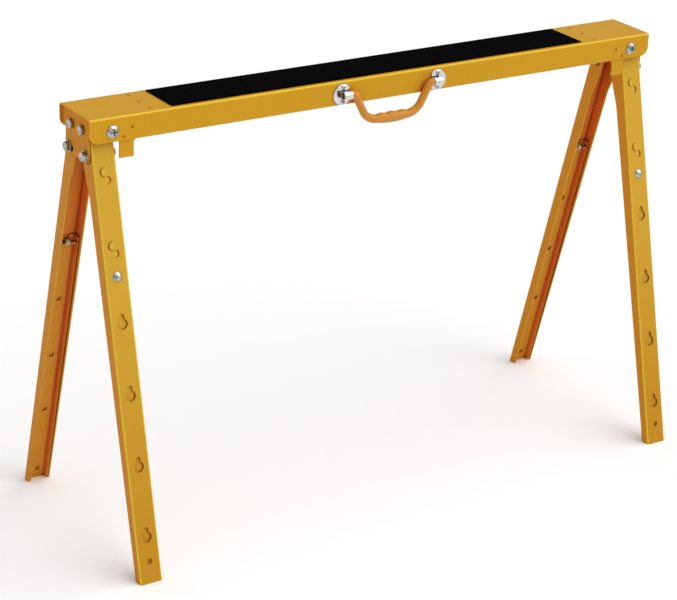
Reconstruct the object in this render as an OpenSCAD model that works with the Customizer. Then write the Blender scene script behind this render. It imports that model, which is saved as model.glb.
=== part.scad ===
// Folding builders trestle: a pressed-steel crossbeam on four spreading, telescoping legs.
// Millimetres. The origin is on the floor under the middle of the beam, +X along the beam, +Z up.
// The carry handle is on the front, -Y side, and the legs stand spread with their lower halves drawn in.

/* [Crossbeam] */
// Length of the crossbeam
beam_l = 1000; // [960:10:1400]
// Width of the crossbeam over its flanges
beam_w = 92; // [90:1:110]
// Depth of the crossbeam's flanges
beam_flange_h = 36; // [35:1:42]
// Thickness of the crossbeam's sheet
beam_sheet = 2; // [1.5:0.1:2.4]
// Inside radius of the crossbeam's bends
beam_bend_in_r = 1; // [0.5:0.1:1.8]
// Radius of the flanges' lower end corners
beam_corner_r = 14; // [6:1:16]
// Height of the crossbeam's top above the floor
work_h = 660; // [640:5:760]

/* [Grip pad] */
// Length of the grip pad
pad_l = 734; // [500:2:780]
// Width of the grip pad
pad_w = 77; // [60:1:84]
// Thickness of the grip pad
pad_t = 2.5; // [1.5:0.5:5]
// Radius of the grip pad's corners
pad_corner_r = 2; // [1:0.5:8]

/* [Legs] */
// Width of an upper leg over its flanges
leg_w = 36; // [35:1:40]
// Thickness of the legs' sheet
leg_sheet = 2; // [1.5:0.1:2.2]
// Inside radius of the legs' bends
leg_bend_in_r = 1; // [0.5:0.1:1.5]
// Depth of an upper leg at the floor
leg_foot_depth = 14.6; // [14.4:0.1:20]
// Depth of an upper leg at its neck, below its bolts
leg_neck_depth = 22.5; // [18:0.5:26]
// Distance along the leg from its pivot to where its flanges start to narrow
leg_flare_drop = 56; // [50:1:64]
// Distance along the leg from its pivot to the neck
leg_neck_drop = 98; // [80:1:120]
// Angle of each leg from upright, in degrees
leg_spread = 14; // [12:0.5:14]
// Distance from the beam's end to the leg
leg_inset = 7; // [5:0.5:12]
// Half of the gap between a pair of closed legs
leg_mid_gap = 1.5; // [1:0.25:2.5]
// Drop of the leg's pivot below the beam's top
leg_pivot_drop = 22.5; // [22:0.25:26]
// Depth of a lower leg's channel
lower_depth = 11.5; // [8:0.5:12]
// Gap between a lower leg and the upper leg that it slides in
slide_gap = 0.4; // [0.3:0.05:0.5]

/* [Leg holes] */
// Distance along the leg from its pivot to the lock bolt
lock_drop = 210; // [200:1:214]
// Distance from the lock bolt to the first keyhole
keyhole_drop = 68; // [40:1:80]
// Pitch of the keyholes and of the square holes
hole_pitch = 104.5; // [96:0.5:104.5]
// Radius of a keyhole's round end
keyhole_r = 8; // [7:0.25:9]
// Radius of a keyhole's narrow end
keyhole_slot_r = 3.8; // [3.2:0.1:5]
// Distance between a keyhole's two ends
keyhole_rise = 11; // [9:0.5:14]
// Radius of the pressed marks above the lock bolt
mark_r = 5.75; // [4:0.25:6.5]
// Height and depth of the pressed marks at their open edges
mark_depth = 1.3; // [0.6:0.1:1.3]
// Width of the square holes
square_hole = 7; // [6.5:0.25:8]
// Distance of a lower leg's last hole from its foot
foot_hole = 19; // [14:0.5:28]

/* [End brackets] */
// Thickness of an end bracket's sheet
bracket_t = 2.5; // [2:0.1:3]
// Radius of the bracket's wings round the fold screws
wing_r = 10; // [8:0.5:11]
// Distance from the leg's inner side to the fold axis
fold_setback = 7; // [6:0.5:9]
// Drop of the fold axis below the beam's top
fold_drop = 21; // [20:0.5:22]
// Reach of the bracket below the spread bolts
bracket_foot = 8.5; // [8:0.5:16]
// Reach of the bracket beside the spread bolts
bracket_side = 10; // [9:0.5:12]
// Radius of the bracket's lower corners
bracket_corner_r = 10; // [4:0.5:12]

/* [Stop saddles] */
// Thickness of a stop saddle's sheet
saddle_t = 2; // [1.5:0.1:2]
// Length of a stop saddle along the beam
saddle_l = 67; // [50:1:72]
// Width of a saddle's tab
tab_w = 22.5; // [16:0.5:30]
// Reach of a saddle's tab below the beam's flange
tab_drop = 26; // [16:1:26]
// Width of the slope between the tab and the flange
tab_slope = 4; // [2:0.5:6]

/* [Bolts] */
// Shank radius of the fold screws
fold_screw_r = 4; // [3:0.5:5]
// Head radius of the fold screws
fold_head_r = 9.5; // [7:0.5:11]
// Head height of the fold screws
fold_head_h = 4.5; // [3:0.5:6]
// Shank radius of the leg pivot bolts and the spread bolts
hex_bolt_r = 4; // [3:0.5:4]
// Width across flats of the hexagon heads and nuts
hex_flats = 13; // [11:0.5:14]
// Height of the hexagon heads
hex_head_h = 5.3; // [4:0.1:6]
// Height of the nuts
nut_h = 5; // [3:0.5:5]
// Radius of the spread bolts' washers
washer_r = 9; // [7.5:0.5:10]
// Thickness of the spread bolts' washers
washer_t = 1.6; // [1:0.1:2.5]
// Distance along the leg from its pivot to the spread bolt
spread_bolt_drop = 37; // [34:0.5:42]
// Shank radius of the lock bolts
lock_bolt_r = 3; // [2.5:0.25:3]
// Head radius of the lock bolts
lock_head_r = 7.4; // [6:0.1:7.9]
// Head height of the lock bolts
lock_head_h = 4; // [2.5:0.25:5]
// Hub radius of the wing nuts
wing_hub_r = 5.5; // [4.5:0.25:6]
// Hub height of the wing nuts
wing_hub_h = 6; // [4:0.5:7]
// Radius of a wing nut's ears
ear_r = 5; // [4:0.25:5]
// Thickness of a wing nut's ears
ear_t = 2.4; // [1.6:0.2:3]

/* [Carry handle] */
// Distance of the handle's brackets from the middle of the beam
handle_x = 85; // [80:1:120]
// Drop of the handle's axis below the beam's top
handle_drop = 20; // [19:0.5:20]
// Distance of the handle's axis from the beam's face
handle_standoff = 8; // [7.8:0.1:12]
// Radius of the handle's arms
arm_r = 6; // [5:0.25:6]
// Radius of the grip at its middle
grip_r = 9; // [7:0.25:10]
// Drop of the grip below the handle's axis
grip_drop = 42; // [38:1:60]
// Slope of the handle's arms, in degrees
arm_slope = 62; // [50:1:75]
// Bend radius of the handle's elbows
elbow_r = 8; // [7.5:0.5:12]
// Bend radius between the arms and the grip
grip_bend_r = 11; // [10:0.5:16]
// Distance from the bracket's middle to the elbow
neck_l = 13; // [13:0.5:18]
// Depth of the finger waves
wave_depth = 2; // [0.5:0.25:3]
// Radius of the handle's journals
journal_r = 4.95; // [4:0.05:5.2]
// Radius of the bracket plates
plate_r = 16; // [15.5:0.25:16]
// Thickness of the bracket plates
plate_t = 2; // [1.5:0.25:2]
// Distance from a bracket's middle to its straight side
plate_flat = 11; // [9:0.5:11.5]
// Radius of the bracket's knuckle
knuckle_r = 7; // [6.8:0.1:7.3]
// Shank radius of the handle's screws
handle_screw_r = 2; // [1.5:0.25:2.25]
// Head radius of the handle's screws
handle_head_r = 3.6; // [3:0.1:3.8]
// Head height of the handle's screws
handle_head_h = 2.4; // [1.5:0.1:3]
// Distance of the handle's screws from its axis
handle_screw_reach = 11.5; // [11.3:0.1:12]

/* [Hidden] */
$fn = 64;

// Colours
paint = [0.82, 0.60, 0.16];
zinc = [0.80, 0.80, 0.78];
rubber = [0.03, 0.03, 0.03];
handle_colour = [0.90, 0.56, 0.15];

// Sides of the trestle
left = -1;
right = 1;
front = -1;
rear = 1;

// Clearances: a turning fit, a slot, faces that pass each other, and the overrun of cuts
fit_gap = 0.05;
slot_gap = 0.4;
pass_gap = 0.3;
overrun = 1;

// Reach of a screw's end past its nut or sheet
screw_end = 2;

// Crossbeam and saddle
half_l = beam_l / 2;
half_w = beam_w / 2;
flange_in = half_w - beam_sheet;
flange_z = work_h - beam_flange_h;
weld_r = 2.5;
weld_depth = 1;
weld_pitch_share = 0.35;
weld_back_share = 0.2;
weld_shares = [[0.28, 0.5], [0.08, 0.84]];

// Leg: the pivot is the middle of the leg's round top
leg_out_x = half_l - leg_inset;
leg_in_x = leg_out_x - leg_w;
leg_mid_x = (leg_out_x + leg_in_x) / 2;
leg_nut_gap = 2.8;
leg_top_depth = flange_in - pass_gap - bracket_t - pass_gap - nut_h - screw_end - leg_nut_gap - leg_mid_gap;
web_y = leg_top_depth / 2;
leg_pivot_y = leg_mid_gap + web_y;
leg_pivot_z = work_h - leg_pivot_drop;
leg_len = leg_pivot_z / cos(leg_spread) + web_y * tan(leg_spread);
lower_w = leg_w - 2 * (leg_sheet + slide_gap);
lower_web_y = web_y - leg_sheet - slide_gap;
lower_head = 9;
hole_foot = 26;
lower_holes = floor((leg_len - lock_drop - hole_foot) / hole_pitch);
keyholes = floor((leg_len - lock_drop - keyhole_drop - hole_foot) / hole_pitch) + 1;
marks = 2;
mark_step_share = 2.06;
mark_step = mark_r * mark_step_share;
mark_shift_share = 0.6;
mark_shift = mark_r * mark_shift_share;
mark_lift = 2;
mark_over_share = 1.5;
mark_hinge_share = 0.4;
mark_tilt = atan(mark_depth / mark_r / (1 + mark_hinge_share));
outwards = 1;
inwards = -1;

// End bracket: it folds about the screws through the beam's flanges
fold_x = leg_in_x + fold_setback;
fold_z = work_h - fold_drop;
plate_x = leg_out_x + pass_gap;
plate_out_x = plate_x + bracket_t;
wing_out = flange_in - pass_gap;
wing_in = wing_out - bracket_t;
bracket_half_w = leg_pivot_y + spread_bolt_drop * sin(leg_spread) + bracket_side;
bracket_top_z = work_h - beam_sheet - saddle_t - overrun;
bracket_waist_z = fold_z - wing_r;
bracket_low_z = leg_pivot_z - spread_bolt_drop - bracket_foot;
slot_r = hex_bolt_r + slot_gap;
saddle_gap = 1.5;
saddle_out_x = fold_x - wing_r - saddle_gap;
saddle_in_x = saddle_out_x - saddle_l;
tab_z = flange_z - tab_drop;
tab_in_x = saddle_out_x - tab_w;

// Fasteners
hex_r = hex_flats / 2 / cos(30);
bolt_end = 1;
cross_w = 1.6;
cross_share = 1.2;
cross_depth_share = 0.45;
nut_face_y = lower_web_y - leg_sheet - pass_gap;
lock_end_y = nut_face_y - wing_hub_h - bolt_end;
ear_out_share = 0.4;
ear_out = wing_hub_r + ear_r * ear_out_share;

// Carry handle: its right half, from the journal over the elbow and arm to the grip
handle_y = -half_w - handle_standoff;
handle_z = work_h - handle_drop;
grip_z = handle_z - grip_drop;
elbow_x = handle_x - neck_l;
arm_l = (grip_drop - (elbow_r + grip_bend_r) * (1 - cos(arm_slope))) / sin(arm_slope);
grip_x = elbow_x - (elbow_r + grip_bend_r) * sin(arm_slope) - arm_l * cos(arm_slope);
seam = 0.2;
lap = 0.8;
rod_r = arm_r - seam;
barrel_rise = grip_r - arm_r - seam;
barrel_r = (grip_x * grip_x + barrel_rise * barrel_rise) / barrel_rise / 2;
waves = 4;
wave_pitch_share = 0.5;
wave_r_share = 0.5;
knuckle_in_x = handle_x - plate_flat - pass_gap;
knuckle_l = plate_flat + plate_r / 2;
journal_share = 0.85;
journal_l = knuckle_l * journal_share;

// Helpers that place, mirror and extrude
module flip_x(on) {
    if (on) mirror([1, 0, 0]) children();
    else children();
}

module flip_y(on) {
    if (on) mirror([0, 1, 0]) children();
    else children();
}

module end_of_beam(sx) {
    flip_x(sx == left) children();
}

// A leg's own frame: origin at its pivot, web towards +Y, up the leg +Z
module leg_frame(sx, sy) {
    flip_x(sx == left)
        flip_y(sy == front)
            translate([leg_mid_x, leg_pivot_y, leg_pivot_z])
                rotate([leg_spread, 0, 0])
                    children();
}

// An outline in Y and Z, drawn out along X from x0
module along_x(x0, length) {
    translate([x0, 0, 0])
        rotate([90, 0, 90])
            linear_extrude(height = length)
                children();
}

// An outline in X and Z, drawn out along Y from y0
module along_y(y0, length) {
    translate([0, y0 + length, 0])
        rotate([90, 0, 0])
            linear_extrude(height = length)
                children();
}

module rod_x(x0, length, r, sides = $fn) {
    translate([x0, 0, 0])
        rotate([0, 90, 0])
            cylinder(r = r, h = length, $fn = sides);
}

// A rod that starts at y0 and runs towards -Y
module rod_in_y(y0, length, r) {
    translate([0, y0, 0])
        rotate([90, 0, 0])
            cylinder(r = r, h = length);
}

module floor_cut() {
    translate([-beam_l, -beam_l, -work_h])
        cube([2 * beam_l, 2 * beam_l, work_h]);
}

// A channel's outline: web on y = 0, flanges towards -Y
module channel_blank(w, d, r) {
    translate([-w / 2, -d])
        square([w, d - r]);
    translate([r - w / 2, -2 * r])
        square([w - 2 * r, 2 * r]);
    for (side = [-1, 1])
        translate([side * (w / 2 - r), -r])
            circle(r = r);
}

module channel_section(w, d, t, bend_in_r) {
    difference() {
        channel_blank(w, d, bend_in_r + t);
        translate([0, -t])
            channel_blank(w - 2 * t, d, bend_in_r);
    }
}

module round_rect(w, h, r) {
    square([w - 2 * r, h], center = true);
    square([w, h - 2 * r], center = true);
    for (sx = [-1, 1], sy = [-1, 1])
        translate([sx * (w / 2 - r), sy * (h / 2 - r)])
            circle(r = r);
}

// A shallow dome on z = 0
module dome(r, h) {
    dome_r = (r * r + h * h) / h / 2;
    intersection() {
        translate([0, 0, h - dome_r])
            sphere(r = dome_r);
        cylinder(r = r, h = h);
    }
}

// A cross recess cut into the top of a head at z = h
module cross_recess(r, h) {
    for (turn = [0, 90])
        rotate([0, 0, turn])
            translate([-r * cross_share / 2, -cross_w / 2, h * (1 - cross_depth_share)])
                cube([r * cross_share, cross_w, h]);
}

// Crossbeam
module beam_corner_cut() {
    difference() {
        translate([half_l - beam_corner_r, -beam_w, flange_z - overrun])
            cube([beam_corner_r + overrun, 2 * beam_w, beam_corner_r + overrun]);
        translate([half_l - beam_corner_r, beam_w, flange_z + beam_corner_r])
            rod_in_y(0, 2 * beam_w, beam_corner_r);
    }
}

module weld_marks() {
    for (side = [-1, 0, 1])
        translate([
            saddle_in_x + saddle_l * weld_back_share,
            side * beam_w * weld_pitch_share,
            work_h - weld_depth
        ])
            cylinder(r = weld_r, h = overrun);
    for (place = weld_shares, side = [-1, 1])
        translate([
            saddle_out_x - saddle_l * place[0],
            side * (half_w - weld_depth) + overrun * (side + 1) / 2,
            work_h - beam_flange_h * place[1]
        ])
            rod_in_y(0, overrun, weld_r);
}

module crossbeam() {
    color(paint)
        difference() {
            translate([0, 0, work_h])
                along_x(-half_l, beam_l)
                    channel_section(beam_w, beam_flange_h, beam_sheet, beam_bend_in_r);
            for (sx = [left, right])
                end_of_beam(sx) {
                    beam_corner_cut();
                    weld_marks();
                    translate([fold_x, 0, fold_z])
                        rod_in_y(beam_w, 2 * beam_w, fold_screw_r + fit_gap);
                    for (dz = [-1, 1])
                        translate([handle_x, 0, handle_z + dz * handle_screw_reach])
                            rod_in_y(-flange_in + overrun, beam_w, handle_screw_r + fit_gap);
                }
        }
}

module grip_pad() {
    color(rubber)
        translate([0, 0, work_h])
            linear_extrude(height = pad_t)
                round_rect(pad_l, pad_w, pad_corner_r);
}

// Stop saddle: a strap inside the beam with a tab below each flange
module saddle_outline() {
    top = work_h - beam_sheet;
    polygon([
        [saddle_in_x, top],
        [saddle_out_x, top],
        [saddle_out_x, tab_z],
        [tab_in_x, tab_z],
        [tab_in_x, flange_z - tab_slope],
        [tab_in_x - tab_slope, flange_z],
        [saddle_in_x, (flange_z + top) / 2]
    ]);
}

module stop_saddle(sx) {
    color(paint)
        end_of_beam(sx)
            intersection() {
                translate([0, 0, work_h - beam_sheet])
                    along_x(saddle_in_x, saddle_l)
                        channel_section(2 * flange_in, beam_flange_h + tab_drop, saddle_t, beam_bend_in_r);
                along_y(-beam_w, 2 * beam_w)
                    saddle_outline();
            }
}

// Fold screws, one on each flange at each end
module fold_axis_ends() {
    for (sx = [left, right], sy = [front, rear])
        flip_x(sx == left)
            flip_y(sy == front)
                translate([fold_x, 0, fold_z])
                    children();
}

module fold_pivot_screws() {
    shank = half_w - wing_in + pass_gap + nut_h + screw_end;
    color(zinc)
        fold_axis_ends() {
            rod_in_y(half_w, shank, fold_screw_r);
            translate([0, half_w, 0])
                rotate([-90, 0, 0])
                    difference() {
                        dome(fold_head_r, fold_head_h);
                        cross_recess(fold_head_r, fold_head_h);
                    }
        }
}

module fold_pivot_nuts() {
    color(zinc)
        fold_axis_ends()
            translate([0, wing_in - pass_gap, 0])
                rotate([90, 0, 0])
                    difference() {
                        cylinder(r = hex_r, h = nut_h, $fn = 6);
                        translate([0, 0, -overrun])
                            cylinder(r = fold_screw_r, h = nut_h + 2 * overrun);
                    }
}

// End bracket: an end plate with an arc slot for each spread bolt, and two wings
module spread_slot() {
    wedge = 2 * spread_bolt_drop;
    difference() {
        intersection() {
            circle(r = spread_bolt_drop + slot_r);
            polygon([[0, 0], [0, -wedge], [wedge * sin(leg_spread), -wedge * cos(leg_spread)]]);
        }
        circle(r = spread_bolt_drop - slot_r);
    }
    for (angle = [0, leg_spread])
        translate([spread_bolt_drop * sin(angle), -spread_bolt_drop * cos(angle)])
            circle(r = slot_r);
}

module end_plate_outline() {
    difference() {
        union() {
            translate([-wing_out, bracket_waist_z])
                square([2 * wing_out, bracket_top_z - bracket_waist_z]);
            translate([0, (bracket_low_z + bracket_top_z) / 2])
                round_rect(2 * bracket_half_w, bracket_top_z - bracket_low_z, bracket_corner_r);
        }
        for (side = [0, 1])
            mirror([side, 0])
                translate([leg_pivot_y, leg_pivot_z]) {
                    circle(r = hex_bolt_r + fit_gap);
                    spread_slot();
                }
    }
}

module wing_outline() {
    difference() {
        union() {
            translate([fold_x, bracket_waist_z])
                square([plate_out_x - fold_x, 2 * wing_r]);
            translate([fold_x, fold_z])
                circle(r = wing_r);
        }
        translate([fold_x, fold_z])
            circle(r = fold_screw_r + fit_gap);
    }
}

module end_bracket(sx) {
    color(paint)
        end_of_beam(sx) {
            along_x(plate_x, bracket_t)
                end_plate_outline();
            for (side = [-1, 1])
                along_y(side * (wing_in + wing_out) / 2 - bracket_t / 2, bracket_t)
                    wing_outline();
        }
}

// Leg pivot bolts: hexagon heads outside the end bracket, nuts inside the legs' inner sides
module leg_pivot_ends(sx) {
    for (sy = [front, rear])
        flip_x(sx == left)
            flip_y(sy == front)
                translate([0, leg_pivot_y, leg_pivot_z])
                    children();
}

module hex_nut() {
    nut_x = leg_in_x - pass_gap - nut_h;
    difference() {
        rod_x(nut_x, nut_h, hex_r, 6);
        rod_x(nut_x - overrun, nut_h + 2 * overrun, hex_bolt_r);
    }
}

module hex_bolt(head_x) {
    end_x = leg_in_x - pass_gap - nut_h - bolt_end;
    rod_x(head_x, hex_head_h, hex_r, 6);
    rod_x(end_x, head_x - end_x, hex_bolt_r);
}

module leg_pivot_bolts(sx) {
    color(zinc)
        leg_pivot_ends(sx)
            hex_bolt(plate_out_x);
}

module leg_pivot_nuts(sx) {
    color(zinc)
        leg_pivot_ends(sx)
            hex_nut();
}

// Spread bolts: each goes through its leg and a slot in the end bracket
module spread_frame(sx, sy) {
    leg_frame(sx, sy)
        translate([-leg_mid_x, 0, -spread_bolt_drop])
            children();
}

module spread_bolt(sx, sy) {
    color(zinc)
        spread_frame(sx, sy)
            hex_bolt(plate_out_x + pass_gap + washer_t);
}

module spread_washer(sx, sy) {
    washer_x = plate_out_x + pass_gap;
    color(zinc)
        spread_frame(sx, sy)
            difference() {
                rod_x(washer_x, washer_t, washer_r);
                rod_x(washer_x - overrun, washer_t + 2 * overrun, hex_bolt_r);
            }
}

module spread_nut(sx, sy) {
    color(zinc)
        spread_frame(sx, sy)
            hex_nut();
}

// Upper leg: a channel whose flanges taper towards the floor
module leg_side_outline() {
    polygon([
        [web_y, 0],
        [-web_y, 0],
        [-web_y, -leg_flare_drop],
        [web_y - leg_neck_depth, -leg_neck_drop],
        [web_y - leg_foot_depth, -leg_len],
        [web_y - leg_foot_depth, -leg_len - leg_w],
        [web_y, -leg_len - leg_w]
    ]);
    circle(r = web_y);
}

module web_cut_frame(drop) {
    translate([0, web_y + overrun, -drop])
        rotate([90, 0, 0])
            children();
}

module keyhole(drop) {
    depth = leg_sheet + 2 * overrun;
    web_cut_frame(drop) {
        cylinder(r = keyhole_r, h = depth);
        translate([0, keyhole_rise, 0])
            cylinder(r = keyhole_slot_r, h = depth);
        translate([-keyhole_slot_r, 0, 0])
            cube([2 * keyhole_slot_r, keyhole_rise, depth]);
    }
}

module square_cut(drop, depth) {
    web_cut_frame(drop)
        translate([-square_hole / 2, -square_hole / 2, 0])
            cube([square_hole, square_hole, depth]);
}

// A round mark on the web's outside, between the sheet and the mark's own tilted face
module pressed_mark(hand, way) {
    reach = mark_depth * mark_over_share;
    intersection() {
        rod_in_y(reach, 2 * reach, mark_r);
        translate([-way * hand * mark_r * mark_hinge_share, 0, 0])
            rotate([0, 0, hand * mark_tilt])
                translate([-leg_w, -leg_w * (way + 1) / 2, -leg_w])
                    cube([2 * leg_w, leg_w, 2 * leg_w]);
    }
}

// The marks go in pairs down the web: the upper one is pressed outwards, the lower one inwards
module pressed_marks(first, hand, way) {
    for (i = [0 : marks - 1])
        translate([way * hand * mark_shift / 2, web_y, way * mark_step / 2 - first - i * hole_pitch])
            pressed_mark(hand, way);
}

module upper_leg(sx, sy) {
    first_keyhole = lock_drop + keyhole_drop;
    first_mark = first_keyhole - marks * hole_pitch - mark_lift;
    hand = sx * sy;
    color(paint)
        difference() {
            leg_frame(sx, sy)
                difference() {
                    union() {
                        intersection() {
                            translate([0, web_y, -leg_len - leg_w])
                                linear_extrude(height = leg_len + leg_w + web_y)
                                    channel_section(leg_w, leg_top_depth, leg_sheet, leg_bend_in_r);
                            along_x(-leg_w, 2 * leg_w)
                                leg_side_outline();
                        }
                        pressed_marks(first_mark, hand, outwards);
                    }
                    pressed_marks(first_mark, hand, inwards);
                    for (i = [0 : keyholes - 1])
                        keyhole(first_keyhole + i * hole_pitch);
                    square_cut(lock_drop, leg_sheet + 2 * overrun);
                    square_cut(lock_drop + lower_holes * hole_pitch, leg_sheet + 2 * overrun);
                    rod_x(-leg_w, 2 * leg_w, hex_bolt_r + fit_gap);
                    translate([0, 0, -spread_bolt_drop])
                        rod_x(-leg_w, 2 * leg_w, hex_bolt_r + fit_gap);
                }
            floor_cut();
        }
}

// Lower leg: slides in the upper leg, with an open notch round the lock bolt
module lower_leg(sx, sy) {
    hole_depth = web_y - lower_web_y + leg_sheet + 2 * overrun;
    color(paint)
        difference() {
            leg_frame(sx, sy)
                difference() {
                    translate([0, lower_web_y, -leg_len - leg_w])
                        linear_extrude(height = leg_len + leg_w - lock_drop + lower_head)
                            channel_section(lower_w, lower_depth, leg_sheet, leg_bend_in_r);
                    for (i = [1 : 1 : lower_holes - 1])
                        square_cut(lock_drop + i * hole_pitch, hole_depth);
                    square_cut(leg_len - foot_hole, hole_depth);
                    square_cut(lock_drop, hole_depth);
                    translate([0, 0, lower_head])
                        square_cut(lock_drop, hole_depth);
                    translate([0, 0, lower_head / 2])
                        square_cut(lock_drop, hole_depth);
                }
            floor_cut();
        }
}

// Lock bolt: round head outside, square neck in the upper leg, wing nut inside
module lock_bolt(sx, sy) {
    neck = square_hole - 2 * pass_gap;
    color(zinc)
        leg_frame(sx, sy)
            translate([0, 0, -lock_drop]) {
                translate([0, web_y, 0])
                    rotate([-90, 0, 0])
                        dome(lock_head_r, lock_head_h);
                translate([-neck / 2, web_y - leg_sheet, -neck / 2])
                    cube([neck, leg_sheet, neck]);
                rod_in_y(web_y, web_y - lock_end_y, lock_bolt_r);
            }
}

module wing_nut(sx, sy) {
    color(zinc)
        leg_frame(sx, sy)
            translate([0, nut_face_y, -lock_drop])
                rotate([90, 0, 0])
                    difference() {
                        union() {
                            cylinder(r = wing_hub_r, h = wing_hub_h);
                            for (side = [-1, 1])
                                translate([side * ear_out, ear_t / 2, ear_r + pass_gap])
                                    rod_in_y(0, ear_t, ear_r);
                        }
                        translate([0, 0, -overrun])
                            cylinder(r = lock_bolt_r + fit_gap, h = wing_hub_h + 2 * overrun + 2 * ear_r);
                    }
}

// Handle brackets: a plate with one straight side and a knuckle that the handle turns in
module handle_bracket(sx) {
    color(zinc)
        end_of_beam(sx)
            difference() {
                union() {
                    along_y(-half_w - plate_t, plate_t)
                        intersection() {
                            translate([handle_x, handle_z])
                                circle(r = plate_r);
                            translate([handle_x - plate_flat, handle_z - plate_r])
                                square([plate_flat + plate_r, 2 * plate_r]);
                        }
                    translate([0, handle_y, handle_z])
                        rod_x(knuckle_in_x, knuckle_l, knuckle_r);
                    translate([knuckle_in_x, handle_y, handle_z - knuckle_r])
                        cube([knuckle_l, handle_standoff - plate_t, 2 * knuckle_r]);
                }
                translate([0, handle_y, handle_z])
                    rod_x(knuckle_in_x - overrun, journal_l + overrun + pass_gap, journal_r + fit_gap);
                for (dz = [-1, 1])
                    translate([handle_x, 0, handle_z + dz * handle_screw_reach])
                        rod_in_y(0, beam_w, handle_screw_r + fit_gap);
            }
}

module handle_screws() {
    shank = plate_t + beam_sheet + screw_end;
    color(zinc)
        for (sx = [left, right], dz = [-1, 1])
            end_of_beam(sx)
                translate([handle_x, -half_w - plate_t, handle_z + dz * handle_screw_reach])
                    rotate([90, 0, 0]) {
                        translate([0, 0, -shank])
                            cylinder(r = handle_screw_r, h = shank);
                        difference() {
                            dome(handle_head_r, handle_head_h);
                            cross_recess(handle_head_r, handle_head_h);
                        }
                    }
}

// Carry handle: a bent rod with a barrel grip
module bend(r, start) {
    rotate([90, 0, 0])
        rotate([0, 0, start])
            rotate_extrude(angle = arm_slope)
                translate([r, 0])
                    circle(r = arm_r);
}

module handle_half() {
    rod_x(elbow_x, knuckle_in_x - elbow_x + journal_l, journal_r);
    rod_x(elbow_x - lap, knuckle_in_x - elbow_x - pass_gap + lap, rod_r);
    translate([0, 0, -grip_drop])
        rod_x(grip_x - lap, 2 * lap, rod_r);
    translate([elbow_x, 0, -elbow_r])
        bend(elbow_r, 90);
    translate([grip_x, 0, grip_bend_r - grip_drop])
        bend(grip_bend_r, 270);
    translate([
        grip_x + grip_bend_r * sin(arm_slope),
        0,
        grip_bend_r * (1 - cos(arm_slope)) - grip_drop
    ])
        rotate([0, 90 - arm_slope, 0])
            translate([0, 0, -lap])
                cylinder(r = rod_r, h = arm_l + 2 * lap);
}

module grip() {
    rotate([0, 90, 0])
        rotate_extrude()
            intersection() {
                translate([grip_r - barrel_r, 0])
                    circle(r = barrel_r, $fn = 4 * $fn);
                translate([0, -grip_x])
                    square([grip_r, 2 * grip_x]);
            }
}

module carry_handle() {
    wave_r = grip_x * wave_r_share;
    color(handle_colour)
        translate([0, handle_y, handle_z])
            difference() {
                union() {
                    for (sx = [left, right])
                        end_of_beam(sx)
                            handle_half();
                    translate([0, 0, -grip_drop])
                        grip();
                }
                for (i = [0 : waves - 1])
                    translate([
                        (i - (waves - 1) / 2) * grip_x * wave_pitch_share,
                        beam_w,
                        grip_r + wave_r - wave_depth - grip_drop
                    ])
                        rod_in_y(0, 2 * beam_w, wave_r);
            }
}

crossbeam();
grip_pad();
stop_saddle(left);  // left_stop_saddle
stop_saddle(right);  // right_stop_saddle
fold_pivot_screws();
fold_pivot_nuts();
handle_bracket(left);  // left_handle_bracket
handle_bracket(right);  // right_handle_bracket
handle_screws();
carry_handle();
end_bracket(left);  // left_end_bracket
end_bracket(right);  // right_end_bracket
leg_pivot_bolts(left);  // left_leg_pivot_bolts
leg_pivot_bolts(right);  // right_leg_pivot_bolts
leg_pivot_nuts(left);  // left_leg_pivot_nuts
leg_pivot_nuts(right);  // right_leg_pivot_nuts
upper_leg(left, front);  // front_left_upper_leg
upper_leg(right, front);  // front_right_upper_leg
upper_leg(left, rear);  // rear_left_upper_leg
upper_leg(right, rear);  // rear_right_upper_leg
lower_leg(left, front);  // front_left_lower_leg
lower_leg(right, front);  // front_right_lower_leg
lower_leg(left, rear);  // rear_left_lower_leg
lower_leg(right, rear);  // rear_right_lower_leg
spread_bolt(left, front);  // front_left_spread_bolt
spread_bolt(right, front);  // front_right_spread_bolt
spread_bolt(left, rear);  // rear_left_spread_bolt
spread_bolt(right, rear);  // rear_right_spread_bolt
spread_washer(left, front);  // front_left_spread_washer
spread_washer(right, front);  // front_right_spread_washer
spread_washer(left, rear);  // rear_left_spread_washer
spread_washer(right, rear);  // rear_right_spread_washer
spread_nut(left, front);  // front_left_spread_nut
spread_nut(right, front);  // front_right_spread_nut
spread_nut(left, rear);  // rear_left_spread_nut
spread_nut(right, rear);  // rear_right_spread_nut
lock_bolt(left, front);  // front_left_lock_bolt
lock_bolt(right, front);  // front_right_lock_bolt
lock_bolt(left, rear);  // rear_left_lock_bolt
lock_bolt(right, rear);  // rear_right_lock_bolt
wing_nut(left, front);  // front_left_wing_nut
wing_nut(right, front);  // front_right_wing_nut
wing_nut(left, rear);  // rear_left_wing_nut
wing_nut(right, rear);  // rear_right_wing_nut
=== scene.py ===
"""Dresses the folding builders trestle: amber enamel, plated hardware, grit pad and moulded handle."""

import logging
import math
import random
from dataclasses import dataclass, replace
from enum import Enum
from typing import Any, Callable, Iterator, Optional

import bmesh
import bpy
from mathutils import Matrix, Vector


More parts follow.
